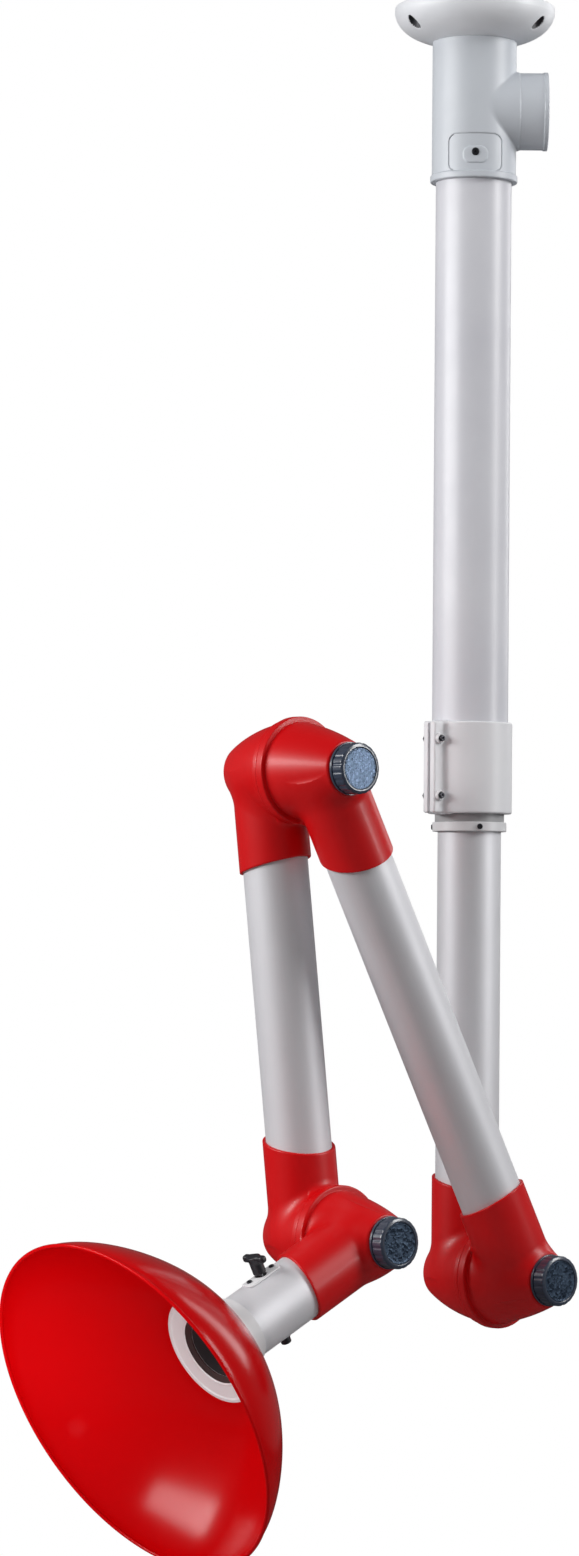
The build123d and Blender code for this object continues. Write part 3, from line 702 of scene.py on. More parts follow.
class Trees:
    """The geometry node trees for copies and ducts."""

    def __init__(self) -> None:
        """Build both trees."""
        self.copies = self.build_copies()
        self.duct = self.build_duct()

    @staticmethod
    def started(name: str, sizes: dict[str, tuple[str, object]]) -> tuple:
        """Start a tree that reads a shape, some sizes and a material.

        Args:
            name: the tree's name.
            sizes: socket type and default of each size.

        Returns:
            Its graph, the sockets that it reads and the socket that it fills.
        """
        inputs = {"Geometry": (SHAPE, None), **sizes, "Material": ("NodeSocketMaterial", None)}
        graph, entry, leave = group(name, "GeometryNodeTree", inputs, {"Geometry": SHAPE})
        return graph, entry.outputs, leave.inputs[0]

    @staticmethod
    def ended(
        graph: Graph, made: bpy.types.Node, read: object, fill: bpy.types.NodeSocket
    ) -> bpy.types.NodeTree:
        """Make a node's copies real, set the material and close the tree."""
        real = graph.node("GeometryNodeRealizeInstances", {"Geometry": made.outputs[0]})
        inputs = {"Geometry": real.outputs[0], "Material": read["Material"]}
        graph.tree.links.new(graph.node("GeometryNodeSetMaterial", inputs).outputs[0], fill)
        return graph.tree

    def build_copies(self) -> bpy.types.NodeTree:
        """Copies of a piece, turned about Z and set off by equal steps."""
        sizes = {
            "Count": ("NodeSocketInt", 3), "Start": (FLOAT, 0.0), "Step": (FLOAT, 0.0),
            "Offset": (VECTOR, (0, 0, 0)),
        }
        graph, read, fill = self.started("copies", sizes)
        index = graph.node("GeometryNodeInputIndex").outputs[0]
        place = graph.node("ShaderNodeVectorMath", {0: read["Offset"], "Scale": index}, operation="SCALE")
        points = graph.node("GeometryNodePoints", {"Count": read["Count"], "Position": place.outputs[0]})
        angle = graph.math("ADD", graph.math("MULTIPLY", index, read["Step"]), read["Start"])
        turn = graph.node("ShaderNodeCombineXYZ", {"Z": angle}).outputs[0]
        copies = graph.node(
            "GeometryNodeInstanceOnPoints",
            {"Points": points.outputs[0], "Instance": read["Geometry"], "Rotation": turn},
        )
        return self.ended(graph, copies, read, fill)

    def build_duct(self) -> bpy.types.NodeTree:
        """Round skin of a duct that follows the line between two points."""
        sizes = {
            "Start": (VECTOR, (0, 0, 0)), "End": (VECTOR, (0, 0, 1)), "Radius": (FLOAT, 0.0375),
            "Sides": ("NodeSocketInt", 96), "Lengths": ("NodeSocketInt", 24),
        }
        graph, read, fill = self.started("duct_skin", sizes)
        line = graph.node("GeometryNodeCurvePrimitiveLine", {"Start": read["Start"], "End": read["End"]})
        path = graph.node("GeometryNodeResampleCurve", {"Curve": line.outputs[0], "Count": read["Lengths"]})
        circle = graph.node(
            "GeometryNodeCurvePrimitiveCircle", {"Resolution": read["Sides"], "Radius": read["Radius"]}
        )
        swept = graph.node(
            "GeometryNodeCurveToMesh", {"Curve": path.outputs[0], "Profile Curve": circle.outputs[0]}
        )
        return self.ended(graph, swept, read, fill)


# Workshop


@dataclass
class Workshop:
    """Makes pieces out of surfaces and puts them on their bodies."""

    palette: Palette = field(default_factory=Palette)
    trees: Trees = field(default_factory=Trees)

    @staticmethod
    def mesh(name: str, surface: Surface) -> bpy.types.Mesh:
        """Make a mesh in metres.

        Args:
            name: the mesh's name.
            surface: points in millimetres.

        Returns:
            The mesh.
        """
        made = bpy.data.meshes.new(name)
        made.from_pydata((surface.points * METRE).tolist(), [], surface.faces)
        made.polygons.foreach_set("use_smooth", [True] * len(made.polygons))
        if surface.normals is None:
            made.set_sharp_from_angle(angle=math.radians(SMOOTH_DEG))
        else:
            made.normals_split_custom_set_from_vertices(surface.normals.tolist())
        made.update()
        return made

    def piece(
        self, name: str, surface: Surface, finish: str, body: str, nodes: Sequence[str] = (),
        lean_deg: float = 0.0,
    ) -> bpy.types.Object:
        """Make a piece and put it on its body.

        Args:
            name: the piece's name.
            surface: its shape in millimetres, in the shared frame.
            finish: the finish's name.
            body: the body that it rides on.
            nodes: the CAD nodes that it stands for.
            lean_deg: lean of the finish's pattern.

        Returns:
            The piece.
        """
        made = bpy.data.objects.new(name, self.mesh(name, surface))
        made.data.materials.append(self.palette.get(finish, lean_deg))
        return self.settle(made, finish, body, nodes)

    def settle(
        self, made: bpy.types.Object, finish: str, body: str, nodes: Sequence[str] = ()
    ) -> bpy.types.Object:
        """Link a finished object, hide the CAD nodes that it stands for, put it on its body and log it.

        Args:
            made: the object, at the origin.
            finish: the finish's name.
            body: the body that it rides on.
            nodes: the CAD nodes that it stands for.

        Returns:
            The same object.
        """
        if made.name not in bpy.context.scene.collection.all_objects:
            bpy.context.scene.collection.objects.link(made)
        if nodes:
            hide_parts(*nodes)
        self.palette.slot(finish)
        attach(made, body)
        LOG.info("%s on %s: %d faces", made.name, body, len(made.data.polygons))
        return made

    def second_finish(self, made: bpy.types.Object, finish: str, faces: Sequence[int]) -> None:
        """Give some of a piece's faces a finish of their own."""
        made.data.materials.append(self.palette.get(finish))
        for number in faces:
            made.data.polygons[int(number)].material_index = 1

    def grown(
        self, name: str, base: Surface, tree: bpy.types.NodeTree, values: dict[str, object],
        place: Matrix | None = None,
    ) -> bpy.types.Object:
        """Run a geometry node tree on a surface and keep its result as a plain mesh.

        Args:
            name: the object's name.
            base: the surface that goes in.
            tree: the geometry node tree.
            values: its inputs by name.
            place: where the result goes, in millimetres.

        Returns:
            An object with a plain mesh at the origin.
        """
        made = bpy.data.objects.new(name, self.mesh(name, base))
        bpy.context.scene.collection.objects.link(made)
        modifier = made.modifiers.new("nodes", "NODES")
        modifier.node_group = tree
        inputs = [item for item in tree.interface.items_tree if item.in_out == "INPUT"]
        sockets = {item.name: item.identifier for item in inputs}
        for label, value in values.items():
            modifier[sockets[label]] = value
        bpy.context.view_layer.update()
        graph = bpy.context.evaluated_depsgraph_get()
        result = bpy.data.meshes.new_from_object(made.evaluated_get(graph), depsgraph=graph)
        made.modifiers.clear()
        made.data = result
        result.name = name
        if place is not None:
            metres = place.copy()
            metres.translation = place.to_translation() * METRE
            result.transform(metres)
        return made

    def copies(
        self, name: str, base: Surface, finish: str, body: str, nodes: Sequence[str], count: int,
        start_deg: float = 0.0, step_deg: float = 0.0, offset: Sequence[float] = (0, 0, 0),
        place: Matrix | None = None,
    ) -> bpy.types.Object:
        """Make a piece of equal copies.

        Args:
            name: the piece's name.
            base: one copy, at its place for an angle of zero.
            finish: the finish's name.
            body: the body that it rides on.
            nodes: the CAD nodes that it stands for.
            count: how many copies.
            start_deg: angle of the first one.
            step_deg: angle between two.
            offset: distance between two.
            place: the frame that the copies are in.

        Returns:
            The piece.
        """
        values = {
            "Count": count,
            "Start": math.radians(start_deg),
            "Step": math.radians(step_deg),
            "Offset": [part * METRE for part in offset],
            "Material": self.palette.get(finish),
        }
        made = self.grown(name, base, self.trees.copies, values, place)
        return self.settle(made, finish, body, nodes)

    def duct(
        self, name: str, start: Vector, end: Vector, radius: float, wall: float, finish: str, body: str,
        nodes: Sequence[str], lean_deg: float = 0.0,
    ) -> bpy.types.Object:
        """Make a straight duct with a real wall, its inside painted near-black as shade.

        Args:
            name: the piece's name.
            start: middle of one end, in millimetres.
            end: middle of the other end.
            radius: outer radius.
            wall: wall thickness.
            finish: the finish's name.
            body: the body that it rides on.
            nodes: the CAD nodes that it stands for.
            lean_deg: lean of the drawn lines.

        Returns:
            The piece.
        """
        material = self.palette.get(finish, lean_deg)
        values = {
            "Start": list(start * METRE),
            "End": list(end * METRE),
            "Radius": radius * METRE,
            "Sides": 128,
            "Lengths": 24,
            "Material": material,
        }
        seed = Surface(np.zeros((3, 3)), [(0, 1, 2)])
        made = self.grown(name, seed, self.trees.duct, values)
        points = np.array([vertex.co for vertex in made.data.vertices]) / METRE
        faces = [tuple(face.vertices) for face in made.data.polygons]
        made.data = self.mesh(name, self.walled(Surface(points, faces), start, end, wall))
        made.data.materials.append(material)
        # The inner wall's faces get the near-black finish: painted shade inside the duct.
        self.second_finish(made, "duct_inside_shade", range(len(faces), 2 * len(faces)))
        return self.settle(made, finish, body, nodes)

    @staticmethod
    def walled(outer: Surface, start: Vector, end: Vector, wall: float) -> Surface:
        """Give a duct's skin its inner side and its two ends.

        Args:
            outer: the skin, open at both ends.
            start: middle of one end.
            end: middle of the other end.
            wall: wall thickness.

        Returns:
            The closed surface.
        """
        axis = np.array((end - start).normalized())
        offset = outer.points - np.array(start)
        depth = offset @ axis
        out = offset - depth[:, None] * axis
        radius = np.linalg.norm(out, axis=1, keepdims=True)
        inner = outer.points - out / radius * wall
        first = outer.faces[0]
        corners = outer.points[list(first)]
        facing = np.cross(corners[1] - corners[0], corners[2] - corners[0]) @ out[first[0]]
        faces = [face if facing > 0 else face[::-1] for face in outer.faces]
        count = len(outer.points)
        edges = {edge for face in faces for edge in zip(face, face[1:] + face[:1])}
        rim = [(a, b) for face in faces for a, b in zip(face, face[1:] + face[:1]) if (b, a) not in edges]
        faces = faces + [tuple(corner + count for corner in face[::-1]) for face in faces]
        faces += [(b, a, a + count, b + count) for a, b in rim]
        return Surface(np.vstack([outer.points, inner]), faces)


# Layout


def framed(origin: Vector, across: Vector, along: Vector) -> Matrix:
    """Frame whose X and Z run along two headings.

    Args:
        origin: where it stands, in millimetres.
        across: heading of its X.
        along: heading of its Z.

    Returns:
        The matrix.
    """
    side = along.cross(across)
    made = Matrix((across, side, along)).transposed().to_4x4()
    made.translation = origin
    return made


@dataclass(frozen=True)
class Layout:
    """Where the pivots are and where the ducts point."""

    shoulder_drop: float = 1502.0
    first_arm_length: float = 663.0
    second_arm_length: float = 535.0
    first_lean_deg: float = 28.44
    second_lean_deg: float = 6.98
    hood_dip_deg: float = 27.0
    plane_offset: float = 96.0
    duct_radius: float = 37.5
    duct_wall: float = 1.5
    tube_stop: float = 62.0
    fit_gap: float = 0.1

    @staticmethod
    def leaning(lean_deg: float) -> Vector:
        """Heading that leans from straight up towards the hood by an angle in degrees."""
        return Vector((-math.sin(math.radians(lean_deg)), 0, math.cos(math.radians(lean_deg))))

    @property
    def first_heading(self) -> Vector:
        """From the shoulder to the elbow."""
        return self.leaning(self.first_lean_deg)

    @property
    def second_heading(self) -> Vector:
        """From the elbow to the wrist."""
        return -self.leaning(self.second_lean_deg)

    @property
    def hood_heading(self) -> Vector:
        """From the wrist to the hood."""
        return self.leaning(90 + self.hood_dip_deg)

    @property
    def damper_heading(self) -> Vector:
        """Across the hood's duct, upwards."""
        return self.leaning(self.hood_dip_deg)

    @property
    def shoulder(self) -> Vector:
        """Shoulder pivot in the column's plane."""
        return Vector((0, 0, -self.shoulder_drop))

    @property
    def elbow(self) -> Vector:
        """Elbow pivot in the column's plane."""
        return self.shoulder + self.first_heading * self.first_arm_length

    @property
    def wrist(self) -> Vector:
        """Wrist pivot in the column's plane."""
        return self.elbow + self.second_heading * self.second_arm_length

    @property
    def to_front(self) -> Vector:
        """From the column's plane to the front ducts' plane."""
        return Vector((0, -self.plane_offset, 0))


# Fasteners


def screw(shank: float, length: float, head: float, head_height: float) -> Surface:
    """Screw along +Z with its head's seat at zero and a drive recess on top.

    Args:
        shank: shank radius.
        length: shank length.
        head: head radius.
        head_height: head height.

    Returns:
        The screw.
    """
    recess = head * 0.38
    outline = [
        (0, -length),
        (shank, -length, shank / 4),
        (shank, 0),
        (head, 0, head_height / 8),
        (head, head_height, head_height / 2.4),
        (recess, head_height, head_height / 10),
        (recess * 0.9, head_height * 0.45),
        (0, head_height * 0.35),
    ]
    return turned(rounded(outline, 4, closed=False), 24, closed=False)


def pointing_out(surface: Surface, distance: float, height: float) -> Surface:
    """Turn a piece drawn along Z to point along X, at a distance from the axis and a height."""
    place = Matrix.Translation((distance, 0, height)) @ Matrix.Rotation(math.pi / 2, 4, "Y")
    return surface.placed(place)


# Column


@dataclass
class Column:
    """Ceiling flange, tee body, outer tube, clamp collar and drop tube."""

    shop: Workshop
    layout: Layout
    flange_radius: float = 95.0
    flange_thickness: float = 9.0
    hub_depth: float = 42.0
    hub_floor: float = 22.0
    belly_radius: float = 90.0
    belly_depth: float = 34.0
    groove_inner: float = 57.0
    groove_outer: float = 73.0
    groove_depth: float = 20.0
    spigot_radius: float = 45.0
    spigot_length: float = 14.0
    spigot_wall: float = 6.0
    bolt_circle: float = 84.0
    bolt_hole: float = 4.5
    bolt_seat: float = 6.8
    bolt_seat_depth: float = 17.0
    bolt_web: float = 4.0
    bolt_start_deg: float = -71.0
    tee_radius: float = 50.0
    tee_bottom: float = -210.0
    tee_bore: float = 45.1
    bead: float = 1.8
    bead_height: float = 8.0
    branch_radius: float = 45.5
    branch_wall: float = 2.0
    branch_reach: float = 87.0
    branch_root_reach: float = 53.0
    branch_step: float = 1.0
    branch_lip: float = 0.9
    branch_lip_length: float = 5.0
    branch_height: float = -124.0
    branch_deg: float = -41.0
    pocket_deg: float = -131.0
    pocket_height: float = -180.0
    pocket_depth: float = 1.2
    pocket_size: tuple[float, float] = (62.0, 44.0)
    island_size: tuple[float, float] = (30.0, 20.0)
    island_drop: float = 3.0
    pocket_corner: float = 9.0
    tube_radius: float = 45.0
    tube_wall: float = 1.8
    tube_top: float = -174.0
    collar_radius: float = 50.0
    collar_top: float = -852.0
    collar_bottom: float = -960.0
    collar_lip: float = 12.0
    lug_reach: float = 66.0
    lug_thickness: float = 8.5
    slit: float = 3.0
    clamp_offset: float = 58.5
    clamp_inset: float = 20.5
    screw_hole: float = 2.6
    boss_radius: float = 6.4
    boss_height: float = 2.6
    bush_neck: float = 41.0
    bush_top: float = -890.0
    running_gap: float = 0.08
    ring_radius: float = 43.8
    ring_top: float = -970.0
    ring_bottom: float = -981.0
    ring_screw_deg: float = -117.0
    drop_top: float = -590.0

    def build(self) -> None:
        """Build every piece of the column."""
        self.flange()
        self.tee()
        self.tubes()
        self.collar()
        self.bottom_rings()
        self.fasteners()

    def bolt_points(self, points: np.ndarray, number: int) -> np.ndarray:
        """Points as seen from the axis of one bolt hole."""
        return turned_points(points, self.bolt_start_deg + 120 * number) - np.array((self.bolt_circle, 0, 0))

    def flange(self) -> None:
        """Cast bell-shaped flange with seated bolt holes and a groove on top; the seats' insides carry
        painted shade.
        """
        edge = (self.flange_radius, -self.flange_thickness)
        belly = bezier([edge, (self.belly_radius, -self.belly_depth), (self.tee_radius, -self.hub_depth)], 16)
        spigot, bore = self.spigot_radius, self.spigot_radius - self.spigot_wall
        foot = -self.hub_depth - self.spigot_length
        groove = -self.groove_depth
        outline = [
            (0, 0), (self.groove_inner, 0, 0.8), (self.groove_inner, groove, 2.0),
            (self.groove_outer, groove, 2.0), (self.groove_outer, 0, 0.8), (self.flange_radius, 0, 2.2),
            *belly, (spigot, -self.hub_depth), (spigot, foot, 1.0),
            (bore, foot, 1.0), (bore, -self.hub_floor, 3.0), (0, -self.hub_floor),
        ]
        body = turned_distance(rounded(outline))

        def distance(points: np.ndarray) -> np.ndarray:
            """Distance to the cast flange."""
            made = body(points)
            web = self.tee_radius + self.bolt_web - np.hypot(points[:, 0], points[:, 1])
            for number in range(3):
                hole = self.bolt_points(points, number)
                made = soft_cut(made, bar(hole, self.bolt_hole, -THROUGH, THROUGH, 0), 0.8)
                seat = bar(hole, self.bolt_seat, -THROUGH, -self.bolt_seat_depth, 1.0)
                made = soft_cut(made, np.maximum(seat, web), 1.6)
            return made

        size = self.flange_radius
        surface = skin(distance, (-size, -size, foot), (size, size, 0), 1.5)
        made = self.shop.piece("ceiling_flange_cast", surface, "cast_paint", "column", ["ceiling_flange"])
        # Faces inside each bolt seat get a near-black finish: painted shade in the holes.
        holes = [self.bolt_points(surface.middles, number) for number in range(3)]
        reach = np.min([np.hypot(hole[:, 0], hole[:, 1]) for hole in holes], axis=0)
        self.shop.second_finish(made, "painted_hole_shade", np.flatnonzero(reach < self.bolt_seat + 0.3))

    def tee(self) -> None:
        """Tee body with its side spigot, foot bead and screw pockets."""
        top = -self.hub_depth
        foot = self.tee_radius + self.bead
        shelf = self.tee_bottom + self.bead_height
        outline = [
            (0, self.tee_bottom), (foot, self.tee_bottom, 1.2), (foot, shelf, 1.2),
            (self.tee_radius, shelf, 1.0), (self.tee_radius, top, 0.5), (0, top),
        ]
        body = turned_distance(rounded(outline))
        outer, end = self.branch_radius, self.branch_reach
        inner = outer - self.branch_wall - self.branch_step
        across = 60.0

        def distance(points: np.ndarray) -> np.ndarray:
            """Distance to the cast tee."""
            branch = along_x(turned_points(points, self.branch_deg), self.branch_height)
            spigot = bar(branch, outer, 0, end, 0.7)
            root = bar(branch, outer + self.branch_step, 0, self.branch_root_reach, 0.5)
            spigot = soft_union(spigot, root, 1.0)
            lip = bar(branch, outer + self.branch_lip, end - self.branch_lip_length, end, 0.7)
            made = soft_union(body(points), spigot, 1.8)
            made = soft_union(made, np.maximum(lip, spigot - self.branch_lip), 1.0)
            reach = np.hypot(points[:, 0], points[:, 1])
            for turn in (0, 180):
                local = turned_points(points, self.pocket_deg + turn)
                middle = (self.tee_radius, 0, self.pocket_height)
                window = block(local, middle, (across, *self.pocket_size), self.pocket_corner)
                middle = (self.tee_radius, 0, self.pocket_height - self.island_drop)
                island = block(local, middle, (across, *self.island_size), self.pocket_corner)
                window = soft_cut(window, island, 3.0)
                made = soft_cut(made, np.maximum(window, self.tee_radius - self.pocket_depth - reach), 1.6)
                hole = along_x(local, self.pocket_height)
                made = soft_cut(made, bar(hole, self.screw_hole, 0, THROUGH, 0), 0.6)
            inside = np.minimum(reach - self.tee_bore, bar(branch, inner, 0, THROUGH, 0))
            return soft_cut(made, inside, 0.8)

        turn = math.radians(self.branch_deg)
        low = (-53, end * math.sin(turn) - 40, self.tee_bottom)
        high = (end * math.cos(turn) + 32, 53, top)
        self.shop.piece("tee_body_cast", skin(distance, low, high, 1.3), "tee_paint", "column", ["tee_body"])

    def tubes(self) -> None:
        """Outer tube and drop tube."""
        bottom = self.collar_bottom + self.collar_lip
        self.shop.duct(
            "outer_column_tube", Vector((0, 0, bottom)), Vector((0, 0, self.tube_top)), self.tube_radius,
            self.tube_wall, "column_paint", "column", ["outer_tube"],
        )
        layout = self.layout
        start = Vector((0, 0, -layout.shoulder_drop + layout.tube_stop))
        self.shop.duct(
            "drop_column_tube", start, Vector((0, 0, self.drop_top)), layout.duct_radius,
            layout.duct_wall, "duct", "drop_arm", ["drop_tube"],
        )

    def collar(self) -> None:
        """Split clamp collar with its lugs."""
        height = self.collar_top - self.collar_bottom
        middle = (self.collar_top + self.collar_bottom) / 2
        lug = (-self.lug_reach / 2, 0, middle)
        lug_size = (self.lug_reach, self.slit + 2 * self.lug_thickness, height)
        inner_bottom = self.collar_bottom + self.collar_lip

        slot = 2 * (self.lug_reach - self.bush_neck)
        bore = self.tube_radius + self.layout.fit_gap
        neck = self.bush_neck + self.layout.fit_gap

        def distance(points: np.ndarray) -> np.ndarray:
            """Distance to the cast collar."""
            made = bar(points, self.collar_radius, self.collar_bottom, self.collar_top, 2.0)
            made = soft_union(made, block(points, lug, lug_size, 2.4), 6.0)
            made = soft_cut(made, bar(points, bore, inner_bottom, 0, 0), 0.5)
            made = soft_cut(made, bar(points, neck, -1200, 0, 0), 0.5)
            gap = block(points, (-self.lug_reach, 0, middle), (slot, self.slit, 400), 0)
            made = soft_cut(made, gap, 1.0)
            for spot in (self.collar_top - self.clamp_inset, self.collar_bottom + self.clamp_inset):
                shift = np.array((self.clamp_offset, 0, -spot))
                across = (points + shift)[:, [0, 2, 1]]
                made = soft_cut(made, bar(across, self.screw_hole, -THROUGH, THROUGH, 0), 0.5)
            return made

        low = (-self.lug_reach, -self.collar_radius, self.collar_bottom)
        high = (self.collar_radius, self.collar_radius, self.collar_top)
        surface = skin(distance, low, high, 1.5)
        self.shop.piece("clamp_collar_cast", surface, "collar_paint", "column", ["clamp_collar"])

    def bottom_rings(self) -> None:
        """Guide bush and stop ring under the collar."""
        bore = self.layout.duct_radius + self.running_gap
        neck, outer = self.bush_neck, self.tube_radius - self.tube_wall - self.layout.fit_gap
        shelf = self.collar_bottom + self.collar_lip
        inner = neck + 0.05
        rings = {
            "guide_bush_liner": (
                "grey_moulded", "guide_bush",
                [
                    (bore, self.ring_bottom, 0.4), (neck, self.ring_bottom, 0.4), (neck, shelf),
                    (outer, shelf, 0.3), (outer, self.bush_top, 0.6), (bore, self.bush_top, 0.6),
                ],
            ),
            "stop_ring_band": (
                "pale_moulded", "stop_ring",
                [
                    (inner, self.ring_bottom, 0.4), (self.ring_radius, self.ring_bottom, 1.0),
                    (self.ring_radius, self.ring_top, 1.0), (inner, self.ring_top, 0.4),
                ],
            ),
        }
        for name, (finish, node, outline) in rings.items():
            self.shop.piece(name, turned(rounded(outline), 128), finish, "column", [node])

    def fasteners(self) -> None:
        """Screws and washers of the column."""
        seat = self.tee_radius - self.pocket_depth + self.layout.fit_gap
        length = seat - self.tube_radius + self.tube_wall
        height = (self.ring_top + self.ring_bottom) / 2
        tee_screw = pointing_out(screw(2.5, length, 4.6, 2.6), seat, self.pocket_height)
        ring_screw = pointing_out(screw(2.2, 2.7, 3.3, 2.4), self.ring_radius, height)
        self.shop.copies(
            "tee_screw_pair", tee_screw, "black_steel", "column", ["tee_screws"], 2, self.pocket_deg, 180.0
        )
        self.shop.copies(
            "ring_screw_set", ring_screw, "black_steel", "column", ["ring_screws"], 3,
            self.ring_screw_deg, 120.0,
        )
        face = self.slit / 2 + self.lug_thickness
        boss = self.boss_height
        top, width, bore = face + boss * 1.5, self.boss_radius, self.screw_hole
        recess = 3.6 + boss / 4
        washer = [
            (bore, face, 0.2), (width, face, 0.3), (width - boss / 3, top, 0.6), (recess, top, 0.4),
            (recess, face + boss), (bore, face + boss),
        ]
        lift = Matrix.Translation((0, 0, face + boss))
        clamp_screw = screw(2.5, 2 * face + boss + 4.1, 3.6, 4.0).placed(lift)
        upper = self.collar_top - self.clamp_inset
        step = upper - (self.collar_bottom + self.clamp_inset)
        place = framed(Vector((-self.clamp_offset, 0, upper)), Vector((1, 0, 0)), Vector((0, -1, 0)))
        rows = {
            "clamp_screw_pair": (clamp_screw, "black_steel", "clamp_screws"),
            "clamp_boss_pair": (turned(rounded(washer), 40), "pale_moulded", "boss_washers"),
        }
        for name, (base, finish, node) in rows.items():
            self.shop.copies(name, base.placed(place), finish, "column", [node], 2, offset=(0, 0, -step))


# Turning joints


class Half(Enum):
    """The two housings of a turning joint."""

    FRONT = "front"
    BACK = "back"


@dataclass
class TurningJoint:
    """Two hollow elbow-shaped housings, a cup washer and a hand knob on one pivot."""

    shop: Workshop
    layout: Layout
    face_gap: float = 2.4
    depth: float = 91.0
    waist_depth: float = 57.0
    wall: float = 3.5
    socket_radius: float = 41.5
    socket_reach: float = 108.0
    socket_slope: float = 0.25
    throat: float = 33.5
    crease: float = 11.0
    opening: float = 46.0
    spider_seat: float = 49.5
    seat_depth: float = 3.0
    bolt_bore: float = 6.08
    washer_radius: float = 30.0
    washer_height: float = 4.5
    play: float = 0.3
    knob_radius: float = 29.0
    knob_height: float = 15.5
    knob_bore: float = 6.04
    knob_roof: float = 5.7
    grips: int = 20
    grip_radius: float = 2.6
    grip_offset: float = 1.9
    shapes: dict[Half, Surface] = field(default_factory=dict)

    def sizes(self, half: Half) -> tuple[float, float, float, float, float]:
        """Rim radius, rim depth, shoulder radius, waist radius and end radius of a half."""
        if half is Half.FRONT:
            return 61.0, 12.0, 55.0, 44.0, 31.5
        return 58.0, 8.5, 55.5, 44.5, 30.0

    @staticmethod
    def arc(start: tuple, middle: tuple, end: tuple, steps: int = 18) -> Profile:
        """Points of the arc through three points.

        Args:
            start: first point.
            middle: a point on the way.
            end: last point.
            steps: pieces of the arc.

        Returns:
            The points, both ends included.
        """
        (ax, ay), (bx, by), (cx, cy) = start, middle, end
        twice = 2 * (ax * (by - cy) + bx * (cy - ay) + cx * (ay - by))
        aa, bb, cc = ax * ax + ay * ay, bx * bx + by * by, cx * cx + cy * cy
        ux = (aa * (by - cy) + bb * (cy - ay) + cc * (ay - by)) / twice
        uy = (aa * (cx - bx) + bb * (ax - cx) + cc * (bx - ax)) / twice
        radius = math.hypot(ax - ux, ay - uy)
        first = math.atan2(ay - uy, ax - ux)
        swing = (math.atan2(cy - uy, cx - ux) - first + math.pi) % (2 * math.pi) - math.pi
        angles = [first + swing * step / steps for step in range(steps + 1)]
        return [(ux + radius * math.cos(angle), uy + radius * math.sin(angle)) for angle in angles]

    def housing(self, half: Half) -> Surface:
        """One housing in its own frame: X along the socket, Z out of the joint face.

        Args:
            half: which of the two.

        Returns:
            The hollow housing with a soft crease between body and socket.
        """
        if half in self.shapes:
            return self.shapes[half]
        rim, rim_depth, shoulder, waist, end = self.sizes(half)
        face = self.face_gap / 2
        middle = self.layout.plane_offset / 2
        bend = self.arc((shoulder, rim_depth), (waist, self.waist_depth), (end, self.depth))
        outline = [(0, face), (rim, face, 1.5), (rim, rim_depth, 1.6), *bend[:-1]]
        outline += [(end, self.depth, 4.0), (0, self.depth)]
        body = turned_distance(rounded(outline))
        floor = self.depth - self.wall
        below, step = face - 5, face + self.seat_depth
        hollow = [(0, below), (self.spider_seat, below), (self.spider_seat, step), (self.opening, step)]
        hollow += self.arc(
            (self.opening, rim_depth + self.wall),
            (waist - self.wall, self.waist_depth - self.wall),
            (end - self.wall, floor),
        )
        hollow += [(0, floor)]
        cavity = turned_distance(hollow)
        tilt = math.hypot(1, self.socket_slope)
        bore = self.layout.duct_radius + self.layout.fit_gap

        def distance(points: np.ndarray) -> np.ndarray:
            """Distance to the hollow housing."""
            x, z = points[:, 0], points[:, 2] - middle
            reach = np.hypot(points[:, 1], z)
            cut = (x - self.socket_reach - z * self.socket_slope) / tilt
            spout = np.maximum(soft_cut(reach - self.socket_radius, -cut, 1.6), -x)
            made = soft_union(body(points), spout, self.crease)
            seat = np.maximum(reach - bore, self.layout.tube_stop - x)
            inner = np.maximum(np.minimum(reach - self.throat, seat), -x)
            made = soft_cut(made, soft_union(cavity(points), inner, 3.0), 0.9)
            if half is Half.FRONT:
                made = soft_cut(made, bar(points, self.bolt_bore, middle, THROUGH, 0), 0.5)
            return made

        far = self.socket_reach + self.socket_slope * self.socket_radius + 2
        surface = skin(distance, (-rim, -rim, 0), (far, rim, self.depth + 4), 1.35)
        self.shapes[half] = surface
        return surface

    def knob(self) -> tuple[Surface, Surface]:
        """Hand knob with shallow grips, and its flat facing.

        Returns:
            The knob and the facing, in the front housing's frame.
        """
        low = self.depth + self.washer_height + self.play
        high = low + self.knob_height
        radius = self.knob_radius
        outline = [
            (0, low), (radius, low, 0.8), (radius, high - 1.2, 3.2), (radius - 3.4, high, 1.2),
            (radius - 5.2, high, 0.6), (radius - 5.6, high - 1.6), (0, high - 1.6),
        ]
        body = turned_distance(rounded(outline), 0.2)
        sector = 2 * math.pi / self.grips

        def distance(points: np.ndarray) -> np.ndarray:
            """Distance to the knob."""
            reach = np.hypot(points[:, 0], points[:, 1])
            angle = np.arctan2(points[:, 1], points[:, 0])
            folded = (angle + sector / 2) % sector - sector / 2
            out = reach * np.cos(folded) - radius - self.grip_offset
            local = np.stack([out, reach * np.sin(folded), points[:, 2]], axis=1)
            made = soft_cut(body(points), bar(local, self.grip_radius, -THROUGH, THROUGH, 0), 0.8)
            return soft_cut(made, bar(points, self.knob_bore, 0, high - self.knob_roof, 0), 0.4)

        shape = skin(distance, (-radius, -radius, low), (radius, radius, high), 0.75)
        plate, foot = radius - 5.75, high - 1.5
        facing = [
            (0, foot), (plate, foot), (plate, foot + 0.75, 0.3), (plate - 2.4, foot + 0.55, 1.0),
            (0, foot + 0.35),
        ]
        return shape, turned(rounded(facing, closed=False), 72, closed=False)

    def washer(self) -> Surface:
        """Dark cup washer between the front housing and the knob."""
        low, bore, outer = self.depth, self.bolt_bore, self.washer_radius
        high = low + self.washer_height
        outline = [
            (bore, low), (outer - 2.5, low, 0.4), (outer, low + 1.5, 0.5), (outer, high, 0.6), (bore, high),
        ]
        return turned(rounded(outline), 96)

